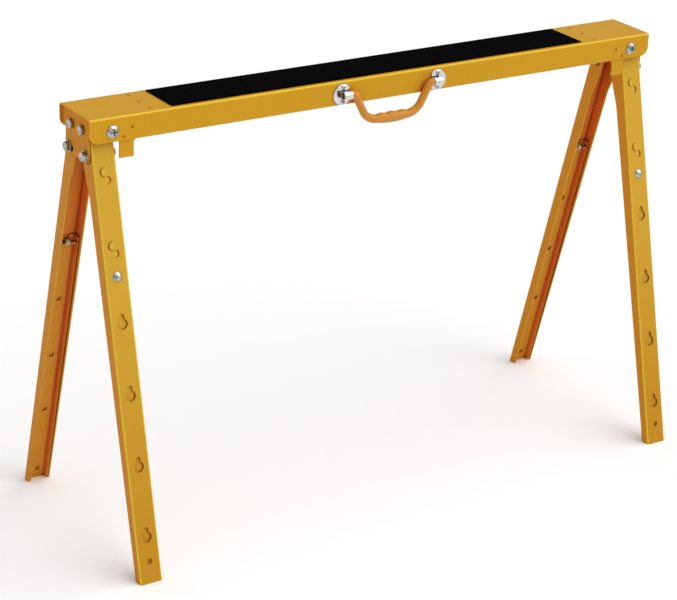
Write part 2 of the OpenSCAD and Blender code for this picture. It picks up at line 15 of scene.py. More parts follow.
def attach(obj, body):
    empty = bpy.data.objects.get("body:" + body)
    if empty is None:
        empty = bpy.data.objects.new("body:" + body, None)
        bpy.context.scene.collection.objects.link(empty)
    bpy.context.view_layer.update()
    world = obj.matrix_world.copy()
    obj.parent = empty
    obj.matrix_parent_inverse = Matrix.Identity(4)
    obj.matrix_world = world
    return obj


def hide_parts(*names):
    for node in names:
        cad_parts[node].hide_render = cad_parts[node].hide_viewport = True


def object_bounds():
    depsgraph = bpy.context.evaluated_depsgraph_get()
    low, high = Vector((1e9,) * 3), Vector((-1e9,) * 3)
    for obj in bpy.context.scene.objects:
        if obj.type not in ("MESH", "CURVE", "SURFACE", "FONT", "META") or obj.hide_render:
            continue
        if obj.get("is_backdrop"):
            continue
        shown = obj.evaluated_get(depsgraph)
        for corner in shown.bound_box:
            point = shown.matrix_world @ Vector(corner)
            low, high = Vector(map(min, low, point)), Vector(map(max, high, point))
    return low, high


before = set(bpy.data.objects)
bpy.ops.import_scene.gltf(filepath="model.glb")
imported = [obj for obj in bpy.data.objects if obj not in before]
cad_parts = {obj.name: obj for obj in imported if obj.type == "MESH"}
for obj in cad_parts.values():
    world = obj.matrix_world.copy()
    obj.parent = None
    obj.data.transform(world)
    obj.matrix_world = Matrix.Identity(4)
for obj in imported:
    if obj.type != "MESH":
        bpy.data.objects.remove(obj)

CAD_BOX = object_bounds()
LOG = logging.getLogger("trestle")
MM = 0.001

Triple = tuple[float, float, float]
Colour = Triple
Socket = bpy.types.NodeSocket
Tree = bpy.types.NodeTree
Material = bpy.types.Material
Work = bmesh.types.BMesh
Loop = list[bmesh.types.BMVert]

# Socket types, and the places of a colour mix's sockets, which share their names
FLOAT, COLOUR = "NodeSocketFloat", "NodeSocketColor"
GEOMETRY, MATERIAL = "NodeSocketGeometry", "NodeSocketMaterial"
MIX_MASK, MIX_UNDER, MIX_OVER, MIX_RESULT = 0, 6, 7, 2


class Way(Enum):
    """A direction by its sign, with a word for node names."""

    @property
    def word(self) -> str:
        """The direction's word in node names."""
        return self.name.lower()


class Side(Way):
    """End of the beam, by the sign of its X."""

    LEFT = -1
    RIGHT = 1


class Depth(Way):
    """Side of the beam, by the sign of its Y."""

    FRONT = -1
    REAR = 1


class Plating(Enum):
    """The plated finishes of the hardware, by record slot."""

    ZINC = "zinc"
    YELLOW_ZINC = "yellow_zinc"
    CHROME = "chrome"


class Recess(Enum):
    """What shuts a recess in, where a painted shade colour gathers."""

    OWN_SHAPE = "own_shape"
    NEIGHBOURS = "neighbours"
    PRESSED_EDGE = "pressed_edge"
    CONTACT = "contact"


class BendRun(Enum):
    """Which way the folds of a folded sheet run, for the painted highlight along them."""

    ALONG_BEAM = "along_beam"
    DOWN_LEG = "down_leg"


# Node trees


class Wiring:
    """Adds nodes to a tree and wires them by socket name."""

    def __init__(self, tree: Tree) -> None:
        """Takes the tree to add to."""
        self.tree = tree

    def add(self, kind: str, inputs: Optional[dict[Any, Any]] = None, **settings: Any) -> bpy.types.Node:
        """Adds one node.

        Args:
            kind: Blender's name for the node type.
            inputs: Values, output sockets or a list of these, by input name or place.
            **settings: Properties of the node itself.

        Returns:
            The new node.
        """
        node = self.tree.nodes.new(kind)
        for name, value in settings.items():
            setattr(node, name, value)
        for name, value in (inputs or {}).items():
            for item in value if isinstance(value, list) else [value]:
                if isinstance(item, Socket):
                    self.tree.links.new(item, node.inputs[name])
                else:
                    node.inputs[name].default_value = item
        return node

    def group(self, tree: Tree, values: dict[str, Any]) -> Any:
        """Puts a shader group in, with its inputs by name, and gives its outputs."""
        return self.add("ShaderNodeGroup", values, node_tree=tree).outputs

    def math(self, operation: str, first: Any, second: Any = 0.0) -> Socket:
        """Works out one value from one or two others."""
        return self.add("ShaderNodeMath", {0: first, 1: second}, operation=operation).outputs[0]

    def times(self, first: Any, second: Any) -> Socket:
        """Multiplies two values."""
        return self.math("MULTIPLY", first, second)

    def vector(self, **parts: Any) -> Socket:
        """Gives a vector of the named parts, with nothing in the others."""
        return self.add("ShaderNodeCombineXYZ", parts).outputs[0]

    def ramp(self, value: Any, span: tuple[Any, Any], low: Any = 0.0, high: Any = 1.0) -> Socket:
        """Maps a span of a value onto low to high, and no further."""
        inputs = {"Value": value, "From Min": span[0], "From Max": span[1], "To Min": low, "To Max": high}
        return self.add("ShaderNodeMapRange", inputs).outputs[0]

    def mix(self, mask: Any, under: Any, over: Any) -> Socket:
        """Lays one colour over another by a mask."""
        inputs = {MIX_MASK: mask, MIX_UNDER: under, MIX_OVER: over}
        return self.add("ShaderNodeMix", inputs, data_type="RGBA").outputs[MIX_RESULT]


class Group(Wiring):
    """A node group with named inputs and outputs."""

    def __init__(self, name: str, kind: str, takes: dict[str, Any], gives: dict[str, str]) -> None:
        """Makes an empty group.

        Args:
            name: The group's name.
            kind: ShaderNodeTree or GeometryNodeTree.
            takes: Usual values of its inputs, or the socket type of one that has none.
            gives: Socket types of its outputs.
        """
        super().__init__(bpy.data.node_groups.new(name, kind))
        for label, value in takes.items():
            bare = isinstance(value, str)
            socket = value if bare else COLOUR if isinstance(value, tuple) else FLOAT
            made = self.tree.interface.new_socket(name=label, in_out="INPUT", socket_type=socket)
            if not bare:
                made.default_value = value
        for label, socket in gives.items():
            self.tree.interface.new_socket(name=label, in_out="OUTPUT", socket_type=socket)
        self.given = self.add("NodeGroupInput")

    def __getitem__(self, label: str) -> Socket:
        """Gives one of the group's inputs."""
        return self.given.outputs[label]

    def give(self, sockets: dict[str, Socket]) -> Tree:
        """Wires the group's outputs and hands the group over."""
        self.add("NodeGroupOutput", sockets)
        return self.tree


# Shader effects that several finishes share, painted shade and painted highlights among them

AO_SAMPLES = 12
NOISE_SPAN = (0.3, 0.7)
BROAD_SHARE = 0.12
FLECK_SPAN = (0.5, 0.62)
FACE_REACH, FACE_SPAN = 30 * MM, (0.52, 0.68)
WALL_SPAN, WALL_LEAST = (0.6, 0.3), 0.08
BEND_SPAN = (0.12, 0.42)
SIDE_SPAN = (0.75, 0.95)


class Effect(Group):
    """A shader group, with the measures that effects are made of."""

    def __init__(self, name: str, takes: dict[str, Any], gives: Optional[dict[str, str]] = None) -> None:
        """Makes an empty shader group.

        Args:
            name: The group's name.
            takes: Usual values of its inputs.
            gives: Socket types of its outputs, or nothing for a Mask alone.
        """
        super().__init__(name, "ShaderNodeTree", takes, gives or {"Mask": FLOAT})

    def part(self, source: str, axis: str) -> Socket:
        """Gives one part of the Object coordinates or of the Normal."""
        whole = self.add("ShaderNodeTexCoord").outputs[source]
        return self.add("ShaderNodeSeparateXYZ", {0: whole}).outputs[axis]

    def looks_along(self, axis: str) -> Socket:
        """Tells how far a face looks along an axis, either way."""
        return self.math("ABSOLUTE", self.part("Normal", axis))

    def noise(self, scale: Any, detail: float, roughness: float = 0.5) -> Socket:
        """Draws noise that is fixed to the object.

        Args:
            scale: How fine it is.
            detail: How many finer layers it has.
            roughness: How strong the finer layers are.

        Returns:
            The noise, about 0.5.
        """
        place = self.add("ShaderNodeTexCoord").outputs["Object"]
        inputs = {"Vector": place, "Scale": scale, "Detail": detail, "Roughness": roughness}
        return self.add("ShaderNodeTexNoise", inputs).outputs["Fac"]

    def open_share(self, reach: Any, alone: bool) -> Socket:
        """Tells how open a place is within a reach, from 0 to 1, to the piece alone or to all."""
        inputs, settings = {"Distance": reach}, {"samples": AO_SAMPLES, "only_local": alone}
        return self.add("ShaderNodeAmbientOcclusion", inputs, **settings).outputs["AO"]

    def mask(self, *shares: Socket) -> Tree:
        """Multiplies shares and the Amount into the Mask, and hands the group over.

        Args:
            *shares: Values from 0 to 1.

        Returns:
            The finished group.
        """
        whole = self["Amount"]
        for share in shares:
            whole = self.times(share, whole)
        return self.give({"Mask": whole})


def mottle_group() -> Tree:
    """Two close colours that drift over a surface.

    Returns:
        The shader group, with a Color output.
    """
    takes = {"Base": (0.5, 0.5, 0.5, 1.0), "Tint": (0.4, 0.4, 0.4, 1.0), "Scale": 20.0, "Amount": 0.5}
    effect = Effect("mottle", takes, {"Color": COLOUR})
    noise = effect.noise(effect["Scale"], detail=5.0, roughness=0.6)
    mask = effect.times(effect.ramp(noise, NOISE_SPAN), effect["Amount"])
    return effect.give({"Color": effect.mix(mask, effect["Base"], effect["Tint"])})


def relief_group() -> Tree:
    """Fine relief at two sizes, and the roughness that goes with it.

    Returns:
        The shader group, with Height and Roughness outputs.
    """
    takes = {"Scale": 500.0, "Coarse": 0.3, "Rough Low": 0.3, "Rough High": 0.4}
    effect = Effect("relief", takes, {"Height": FLOAT, "Roughness": FLOAT})
    fine = effect.noise(effect["Scale"], detail=2.0)
    broad = effect.noise(effect.times(effect["Scale"], BROAD_SHARE), detail=3.0)
    height = effect.math("ADD", fine, effect.times(broad, effect["Coarse"]))
    rough = effect.ramp(broad, NOISE_SPAN, effect["Rough Low"], effect["Rough High"])
    return effect.give({"Height": height, "Roughness": rough})


def scuff_group() -> Tree:
    """Small rubbed flecks that thin out with height above the floor.

    Returns:
        The shader group, with a Mask output.
    """
    effect = Effect("floor_scuff", {"Reach": 0.03, "Scale": 160.0, "Amount": 0.5})
    low = effect.ramp(effect.part("Object", "Z"), (effect["Reach"], 0.0))
    flecks = effect.ramp(effect.noise(effect["Scale"], detail=4.0), FLECK_SPAN)
    return effect.mask(low, flecks)


def painted_shade_group(recess: Recess) -> Tree:
    """Painted shade: a colour laid into recesses, inside corners and gaps, where shade falls.

    Args:
        recess: What shuts the recesses in.

    Returns:
        The shader group, with a Mask output.
    """
    takes = {"Reach": 0.02, "Open": 0.9, "Shut": 0.4, "Floor Clear": 0.0001, "Amount": 0.8}
    effect = Effect(recess.value, takes)
    alone = recess in (Recess.OWN_SHAPE, Recess.PRESSED_EDGE)
    seen = effect.open_share(effect["Reach"], alone)
    shares = []
    if recess is Recess.PRESSED_EDGE:
        shares.append(effect.ramp(effect.open_share(FACE_REACH, True), FACE_SPAN))
    if recess is Recess.CONTACT:
        own = effect.open_share(effect["Reach"], True)
        seen = effect.math("SUBTRACT", effect.math("ADD", 1.0, seen), own)
        shares.append(effect.ramp(effect.looks_along("Y"), WALL_SPAN, WALL_LEAST))
    deep = effect.ramp(seen, (effect["Open"], effect["Shut"]))
    raised = effect.ramp(effect.part("Object", "Z"), (0.0, effect["Floor Clear"]))
    return effect.mask(deep, raised, *shares)


def bend_group(run: BendRun) -> Tree:
    """Painted highlight on the folds of a folded sheet, told by how far the surface turns from its flat
    faces.

    Args:
        run: Which way the folds run.

    Returns:
        The shader group, with a Mask output.
    """
    effect = Effect("bend_" + run.value, {"Amount": 0.6})
    if run is BendRun.ALONG_BEAM:
        turned = effect.times(effect.looks_along("Y"), effect.looks_along("Z"))
    else:
        sideways = effect.looks_along("X")
        square = effect.times(sideways, sideways)
        turned = effect.math("SQRT", effect.times(square, effect.math("SUBTRACT", 1.0, square)))
    return effect.mask(effect.ramp(turned, BEND_SPAN))


def side_shade_group() -> Tree:
    """Painted shade: masks the faces that look along the beam, towards either end, where the colour turns a
    darker, deeper orange.
    """
    effect = Effect("side_faces", {"Amount": 0.9})
    return effect.mask(effect.ramp(effect.looks_along("X"), SIDE_SPAN))


def height_shade_group() -> Tree:
    """Masks by height, from nothing at one level to all at another, for painted shade that darkens a coat
    towards the floor.
    """
    effect = Effect("height", {"None At": 0.0, "All At": 1.0, "Amount": 1.0})
    return effect.mask(effect.ramp(effect.part("Object", "Z"), (effect["None At"], effect["All At"])))


class Effects:
    """The shader groups, each built once."""

    def __init__(self) -> None:
        """Builds every group."""
        self.mottle = mottle_group()
        self.relief = relief_group()
        self.scuff = scuff_group()
        self.painted_shades = {recess: painted_shade_group(recess) for recess in Recess}
        self.bends = {run: bend_group(run) for run in BendRun}
        self.sides = side_shade_group()
        self.height = height_shade_group()


# Finishes


def opaque(colour: Colour) -> tuple[float, float, float, float]:
    """Adds a full alpha to a colour."""
    return (*colour, 1.0)


@dataclass(frozen=True)
class Pool:
    """A painted shade colour for recesses: how far it reaches, and how open or shut they are."""

    colour: Colour
    reach: float
    amount: float
    open_at: float
    shut_at: float
    recess: Recess = Recess.NEIGHBOURS
    floor_clear: float = 0.1 * MM

    def inputs(self) -> dict[str, float]:
        """Gives the values of its shader group's inputs."""
        open_span = {"Open": self.open_at, "Shut": self.shut_at}
        return {"Reach": self.reach, "Amount": self.amount, "Floor Clear": self.floor_clear, **open_span}


@dataclass(frozen=True)
class Scuff:
    """Flecks rubbed into a coat near the floor."""

    colour: Colour = (0.26, 0.13, 0.03)
    reach: float = 12 * MM
    scale: float = 260.0
    amount: float = 0.2

    def inputs(self) -> dict[str, float]:
        """Gives the values of its shader group's inputs."""
        return {"Reach": self.reach, "Scale": self.scale, "Amount": self.amount}


@dataclass(frozen=True)
class Finish:
    """A coated or bare surface with drifting colour and fine relief, with painted shade and painted
    highlights laid over.
    """

    name: str
    base: Colour
    tint: Colour
    mottle_scale: float
    mottle_amount: float
    relief_scale: float
    relief_coarse: float
    relief_depth: float
    rough: tuple[float, float]
    metallic: float = 0.0
    coat: float = 0.0
    coat_roughness: float = 0.2
    specular: float = 0.5
    scuff: Optional[Scuff] = None
    # painted shade in recesses, corners, gaps and hole walls
    shade_pools: tuple[Pool, ...] = ()
    # painted highlight along the sheet's outer folds
    bends: Optional[BendRun] = None
    bend_colour: Colour = (0.84, 0.60, 0.05)
    bend_amount: float = 0.7
    # painted shade on faces that look along the beam
    side_colour: Optional[Colour] = None
    side_amount: float = 0.9
    # painted shade: darker towards the floor, for light that falls off
    low_colour: Optional[Colour] = None
    low_shade_span: tuple[float, float] = (0.42, 0.05)

    def layers(self, effects: Effects) -> Iterator[tuple[Tree, dict[str, float], Colour]]:
        """Lists the colours that lie over the mottle, from the lowest: rubbed flecks, then painted shade and
        painted highlights.

        Args:
            effects: The shared shader groups.

        Yields:
            A mask group, the values of its inputs and the colour that it lets through.
        """
        if self.scuff:
            yield effects.scuff, self.scuff.inputs(), self.scuff.colour
        if self.low_colour:
            none_at, all_at = self.low_shade_span
            yield effects.height, {"None At": none_at, "All At": all_at}, self.low_colour
        if self.side_colour:
            yield effects.sides, {"Amount": self.side_amount}, self.side_colour
        if self.bends:
            yield effects.bends[self.bends], {"Amount": self.bend_amount}, self.bend_colour
        for shade_pool in self.shade_pools:
            yield effects.painted_shades[shade_pool.recess], shade_pool.inputs(), shade_pool.colour

    def build(self, effects: Effects) -> Material:
        """Makes the material.

        Args:
            effects: The shared shader groups.

        Returns:
            The finished material.
        """
        material = bpy.data.materials.new(self.name)
        material.use_nodes = True
        material.node_tree.nodes.clear()
        wiring = Wiring(material.node_tree)
        drift = {"Scale": self.mottle_scale, "Amount": self.mottle_amount}
        colours = {"Base": opaque(self.base), "Tint": opaque(self.tint)}
        colour = wiring.group(effects.mottle, {**drift, **colours})["Color"]
        for tree, values, over in self.layers(effects):
            colour = wiring.mix(wiring.group(tree, values)["Mask"], colour, opaque(over))
        grain = {"Scale": self.relief_scale, "Coarse": self.relief_coarse}
        grain.update({"Rough Low": self.rough[0], "Rough High": self.rough[1]})
        relief = wiring.group(effects.relief, grain)
        bump = {"Strength": 1.0, "Distance": self.relief_depth, "Height": relief["Height"]}
        shader = wiring.add(
            "ShaderNodeBsdfPrincipled",
            {
                "Base Color": colour,
                "Roughness": relief["Roughness"],
                "Normal": wiring.add("ShaderNodeBump", bump).outputs["Normal"],
                "Metallic": self.metallic,
                "Coat Weight": self.coat,
                "Coat Roughness": self.coat_roughness,
                "Specular IOR Level": self.specular,
            },
        )
        wiring.add("ShaderNodeOutputMaterial", {"Surface": shader.outputs["BSDF"]})
        return material


# Painted shade: colours laid into recesses, corners, gaps, pressed edges and hole walls where shade falls;
# the warm and red ones also paint light bounced about inside the orange channels, and the last darkens the
# hardware's gaps.
WARM_CORNER_SHADE = Pool((0.92, 0.220, 0.042), 30 * MM, 0.9, 0.92, 0.35, Recess.OWN_SHAPE)
RED_CORNER_SHADE = Pool((0.76, 0.11, 0.035), 40 * MM, 0.9, 0.72, 0.2, floor_clear=120 * MM)
DARK_GAP_SHADE = Pool((0.085, 0.022, 0.006), 4 * MM, 0.85, 0.5, 0.2)
MARK_EDGE_SHADE = Pool((0.055, 0.016, 0.003), 4 * MM, 0.95, 0.99, 0.8, Recess.PRESSED_EDGE)
HOLE_WALL_SHADE = Pool((0.13, 0.016, 0.004), 5 * MM, 0.95, 0.95, 0.7, Recess.CONTACT, floor_clear=20 * MM)
METAL_GAP_SHADE = Pool((0.03, 0.028, 0.022), 5 * MM, 0.9, 0.85, 0.4)

ENAMEL = Finish(
    "amber_enamel",
    base=(0.595, 0.308, 0.015),
    tint=(0.548, 0.266, 0.011),
    mottle_scale=9.0,
    mottle_amount=0.35,
    relief_scale=420.0,
    relief_coarse=0.5,
    relief_depth=0.12 * MM,
    rough=(0.38, 0.46),
    coat=0.04,
    specular=0.045,
    scuff=Scuff(),
    # painted shade: darker, deeper orange on faces that look along the beam
    side_colour=(0.64, 0.235, 0.009),
    shade_pools=(WARM_CORNER_SHADE, RED_CORNER_SHADE, DARK_GAP_SHADE, MARK_EDGE_SHADE),
)
BEAM_ENAMEL = replace(
    ENAMEL,
    name="amber_enamel_beam",
    # painted highlight along the beam's folds
    bends=BendRun.ALONG_BEAM,
    shade_pools=(WARM_CORNER_SHADE, RED_CORNER_SHADE, DARK_GAP_SHADE, replace(MARK_EDGE_SHADE, amount=0.5)),
)
LEG_ENAMEL = replace(
    ENAMEL,
    name="amber_enamel_leg",
    # painted highlight along the leg's folds
    bends=BendRun.DOWN_LEG,
    # painted shade: the lighter base up top and the darker low colour paint light falling off down the legs
    base=(0.600, 0.350, 0.034),
    tint=(0.570, 0.310, 0.024),
    low_colour=(0.505, 0.240, 0.014),
    shade_pools=(*ENAMEL.shade_pools, HOLE_WALL_SHADE),
)
GRIT = Finish(
    "black_grit",
    base=(0.0010, 0.0009, 0.0010),
    tint=(0.0032, 0.0031, 0.0034),
    mottle_scale=900.0,
    mottle_amount=0.7,
    relief_scale=1100.0,
    relief_coarse=0.25,
    relief_depth=0.4 * MM,
    rough=(0.86, 0.95),
    specular=0.01,
)
MOULDED = Finish(
    "moulded_orange",
    base=(0.590, 0.240, 0.019),
    tint=(0.540, 0.206, 0.014),
    mottle_scale=35.0,
    mottle_amount=0.4,
    relief_scale=900.0,
    relief_coarse=0.4,
    relief_depth=0.08 * MM,
    rough=(0.34, 0.42),
    specular=0.3,
)
# The dark tint lies in patches over the zinc: partly plating tone, partly painted dark reflections.
BRIGHT_ZINC = Finish(
    "bright_zinc",
    base=(0.64, 0.64, 0.63),
    tint=(0.15, 0.135, 0.075),
    mottle_scale=210.0,
    mottle_amount=0.85,
    relief_scale=1500.0,
    relief_coarse=0.6,
    relief_depth=0.06 * MM,
    rough=(0.20, 0.34),
    metallic=1.0,
    shade_pools=(METAL_GAP_SHADE,),
)
PLATED: dict[Plating, Finish] = {
    Plating.ZINC: BRIGHT_ZINC,
    Plating.YELLOW_ZINC: replace(
        BRIGHT_ZINC,
        name="yellow_zinc",
        base=(0.42, 0.34, 0.15),
        tint=(0.31, 0.27, 0.18),
        mottle_scale=160.0,
        mottle_amount=0.8,
        rough=(0.24, 0.38),
    ),
    Plating.CHROME: replace(
        BRIGHT_ZINC,
        name="bright_plate",
        base=(0.70, 0.70, 0.71),
        tint=(0.52, 0.52, 0.53),
        mottle_scale=90.0,
        mottle_amount=0.5,
        relief_scale=700.0,
        relief_coarse=0.8,
        relief_depth=0.04 * MM,
        rough=(0.12, 0.22),
    ),
}


# Pieces


def paint_node(node: str, material: Material) -> None:
    """Gives a carried-over node its material.

    Args:
        node: The node's name.
        material: What it is made of.
    """
    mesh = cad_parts[node].data
    mesh.materials.clear()
    mesh.materials.append(material)
    LOG.info("%s keeps its shape, in %s", node, material.name)


def new_object(name: str, data: bpy.types.ID) -> bpy.types.Object:
    """Links new data into the scene as an object.

    Args:
        name: The object's name.
        data: Its mesh, lamp or camera.

    Returns:
        The new object.
    """
    made = bpy.data.objects.new(name, data)
    bpy.context.scene.collection.objects.link(made)
    return made


@dataclass
class Dress:
    """What a finer piece needs to stand for a node: body, record slot, material and sharp edges."""

    node: str
    body: str
    slot: str
    material: Material
    sharp_deg: float

    def put_on(self, mesh: bpy.types.Mesh) -> None:
        """Makes the piece from its mesh, on its body and in the node's place.

        Args:
            mesh: The piece's mesh, in place.
        """
        mesh.name = self.node + "_dressed"
        if not mesh.materials:
            mesh.materials.append(self.material)
        mesh.shade_smooth()
        mesh.set_sharp_from_angle(angle=math.radians(self.sharp_deg))
        piece = new_object(self.node + "_dressed", mesh)
        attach(piece, self.body)
        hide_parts(self.node)
        LOG.info("%s rides on %s", piece.name, self.body)

    def put_on_shape(self, fill: Callable[[Work], None]) -> None:
        """Makes the piece from a shape, with its faces turned outwards.

        Args:
            fill: Adds the geometry to an empty mesh.
        """
        work = bmesh.new()
        fill(work)
        bmesh.ops.recalc_face_normals(work, faces=work.faces[:])
        mesh = bpy.data.meshes.new(self.node + "_dressed")
        work.to_mesh(mesh)
        work.free()
        self.put_on(mesh)


def bridge(work: Work, loops: list[Loop]) -> None:
    """Joins each closed loop of points to the next with a band of faces.

    Args:
        work: The mesh to add to.
        loops: The loops, in order, with the same number of points.
    """
    for first, second in zip(loops, loops[1:]):
        for k in range(len(first)):
            n = (k + 1) % len(first)
            work.faces.new((first[k], first[n], second[n], second[k]))


def loft(work: Work, loops: list[Loop]) -> None:
    """Joins loops of points in order and closes both ends.

    Args:
        work: The mesh to add to.
        loops: The loops, in order, with the same number of points.
    """
    bridge(work, loops)
    work.faces.new(loops[0])
    work.faces.new(list(reversed(loops[-1])))


# Hardware, one Geometry Nodes tree for each kind

WELD_GAP = 0.02 * MM
SMOOTH_DEG = 28.0
ROD_SIDES, HEAD_SIDES, FACE_SIDES, WASHER_SIDES = 32, 64, 40, 56
CONE_SIDES, CONE_TOP_SHARE, CONE_SLOPE = 48, 0.475, 1.6
DOME_RINGS, DISH_SEGMENTS, DISH_RINGS = 40, 48, 32
CORNER_SHARE = 0.5 / math.cos(math.radians(30))
FACE_SHARE, FACE_DEPTH = 0.49, 0.8 * MM
THREAD_PITCH, THREAD_STEPS, THREAD_END = 1.25 * MM, 20, 0.5 * MM
RIDGE_SIDES, RIDGE_R, ROOT_SHARE = 4, 0.36 * MM, 0.9


class Drawing(Group):
    """A geometry group, with the shapes that fasteners are made of."""

    def lifted(self, shape: Socket, up: Any) -> Socket:
        """Moves a shape up."""
        inputs = {"Geometry": shape, "Translation": self.vector(Z=up)}
        return self.add("GeometryNodeTransform", inputs).outputs[0]

    def cylinder(self, sides: int, radius: Any, depth: Any) -> Socket:
        """Draws an upright cylinder about the origin."""
        inputs = {"Vertices": sides, "Radius": radius, "Depth": depth}
        return self.add("GeometryNodeMeshCylinder", inputs).outputs["Mesh"]

    def ball(self, segments: int, rings: int, radius: Any) -> Socket:
        """Draws a ball about the origin."""
        inputs = {"Segments": segments, "Rings": rings, "Radius": radius}
        return self.add("GeometryNodeMeshUVSphere", inputs).outputs["Mesh"]

    def box(self, **sizes: Any) -> Socket:
        """Draws a box about the origin, by its size along each axis."""
        return self.add("GeometryNodeMeshCube", {"Size": self.vector(**sizes)}).outputs["Mesh"]

    def cut(self, operation: str, tools: list[Socket], base: Optional[Socket] = None) -> Socket:
        """Cuts shapes with one another and joins the points that the cut leaves side by side.

        Args:
            operation: DIFFERENCE or INTERSECT.
            tools: The shapes that cut, or that are cut with one another.
            base: What a difference is cut from.

        Returns:
            The cut shape, without slivers.
        """
        inputs: dict[str, Any] = {"Mesh 2": tools}
        if base:
            inputs["Mesh 1"] = base
        left = self.add("GeometryNodeMeshBoolean", inputs, operation=operation, solver="EXACT")
        weld = {"Geometry": left.outputs["Mesh"], "Distance": WELD_GAP}
        return self.add("GeometryNodeMergeByDistance", weld).outputs["Geometry"]

    def joined(self, parts: list[Socket]) -> Socket:
        """Puts several shapes together."""
        return self.add("GeometryNodeJoinGeometry", {"Geometry": list(reversed(parts))}).outputs[0]

    def hex_prism(self, flats: Any, height: Any) -> Socket:
        """Draws a hexagon prism on z = 0 with its top corners turned off.

        Args:
            flats: Its width across flats.
            height: Its height.

        Returns:
            The prism.
        """
        prism = self.cylinder(6, self.times(flats, CORNER_SHARE), height)
        top = self.times(flats, CONE_TOP_SHARE)
        cone = {
            "Vertices": CONE_SIDES,
            "Radius Top": top,
            "Radius Bottom": self.math("ADD", top, self.times(height, CONE_SLOPE)),
            "Depth": height,
        }
        turned = self.add("GeometryNodeMeshCone", cone).outputs["Mesh"]
        return self.cut("INTERSECT", [self.lifted(prism, self.times(height, 0.5)), turned])

    def shank(self, radius: Any, length: Any) -> Socket:
        """Draws a plain rod from z = 0 downwards."""
        return self.lifted(self.cylinder(ROD_SIDES, radius, length), self.times(length, -0.5))

    def thread(self, radius: Any, length: Any, end: Any) -> Socket:
        """Draws a screw thread that ends a given depth below z = 0.

        Args:
            radius: The shank's radius.
            length: The thread's length.
            end: Depth of its end.

        Returns:
            The thread.
        """
        root = self.times(radius, ROOT_SHARE)
        turns = {"Resolution": THREAD_STEPS, "Rotations": self.math("DIVIDE", length, THREAD_PITCH)}
        sizes = {"Start Radius": root, "End Radius": root, "Height": length}
        path = self.add("GeometryNodeCurveSpiral", {**turns, **sizes}).outputs["Curve"]
        profile = self.circle(RIDGE_SIDES, RIDGE_R)
        ridge = {"Curve": path, "Profile Curve": profile, "Fill Caps": True}
        return self.lifted(self.add("GeometryNodeCurveToMesh", ridge).outputs[0], self.times(end, -1.0))

    def circle(self, sides: int, radius: Any) -> Socket:
        """Draws a circle as a curve."""
        inputs = {"Resolution": sides, "Radius": radius}
        return self.add("GeometryNodeCurvePrimitiveCircle", inputs).outputs["Curve"]

    def domed_head(self) -> Socket:
        """Draws a round head with a short rim under a dome.

        Returns:
            The head.
        """
        height, dome = self["Head Height"], self["Dome Radius"]
        ball = self.lifted(self.ball(HEAD_SIDES, DOME_RINGS, dome), self.math("SUBTRACT", height, dome))
        barrel = self.cylinder(HEAD_SIDES, self["Head Radius"], self.times(height, 2.0))
        return self.cut("INTERSECT", [ball, self.lifted(barrel, height)])


@dataclass(frozen=True)
class Seat:
    """Where a fastener sits, and which way its head faces."""

    place: Vector
    facing: Vector


class Hardware(Drawing):
    """A kind of fastener, drawn by a node tree at every seat."""

    name: str = "hardware"
    sizes: dict[str, float] = {}

    def __init__(self, plated: dict[Plating, Material]) -> None:
        """Builds the tree.

        Args:
            plated: The plated materials.
        """
        takes = {"Seats": GEOMETRY, **self.sizes, "Finish": MATERIAL}
        super().__init__(self.name, "GeometryNodeTree", takes, {"Geometry": GEOMETRY})
        self.plated = plated
        facing = self.add("GeometryNodeInputNamedAttribute", {"Name": "facing"}, data_type="FLOAT_VECTOR")
        turn = self.add("FunctionNodeAlignRotationToVector", {"Vector": facing.outputs[0]}, axis="Z")
        seats = {"Points": self["Seats"], "Instance": self.draw(), "Rotation": turn.outputs[0]}
        placed = self.add("GeometryNodeInstanceOnPoints", seats)
        real = self.add("GeometryNodeRealizeInstances", {"Geometry": placed.outputs[0]})
        coat = {"Geometry": real.outputs[0], "Material": self["Finish"]}
        self.give({"Geometry": self.add("GeometryNodeSetMaterial", coat).outputs[0]})

    def draw(self) -> Socket:
        """Draws one fastener, seated on z = 0 with its head upwards."""
        raise NotImplementedError

    def fit(
        self,
        node: str,
        body: str,
        plating: Plating,
        seats: list[Seat],
        changed: Optional[dict[str, float]] = None,
    ) -> None:
        """Makes the fasteners of one node.

        Args:
            node: The node that they stand for.
            body: The body that they ride on.
            plating: Their finish.
            seats: Where they sit.
            changed: Sizes that differ from the usual.
        """
        points = bpy.data.meshes.new(node + "_seats")
        points.from_pydata([tuple(seat.place) for seat in seats], [], [])
        facing = points.attributes.new("facing", "FLOAT_VECTOR", "POINT")
        for item, seat in zip(facing.data, seats):
            item.vector = seat.facing
        carrier = new_object(node + "_seats", points)
        modifier = carrier.modifiers.new("hardware", "NODES")
        modifier.node_group = self.tree
        material = self.plated[plating]
        values = {**self.sizes, **(changed or {}), "Finish": material}
        for socket in self.tree.interface.items_tree:
            if socket.in_out == "INPUT" and socket.name in values:
                modifier[socket.identifier] = values[socket.name]
        bpy.context.view_layer.update()
        graph = bpy.context.evaluated_depsgraph_get()
        mesh = bpy.data.meshes.new_from_object(carrier.evaluated_get(graph), depsgraph=graph)
        carrier.modifiers.remove(modifier)
        bpy.data.objects.remove(carrier)
        Dress(node, body, plating.value, material, SMOOTH_DEG).put_on(mesh)


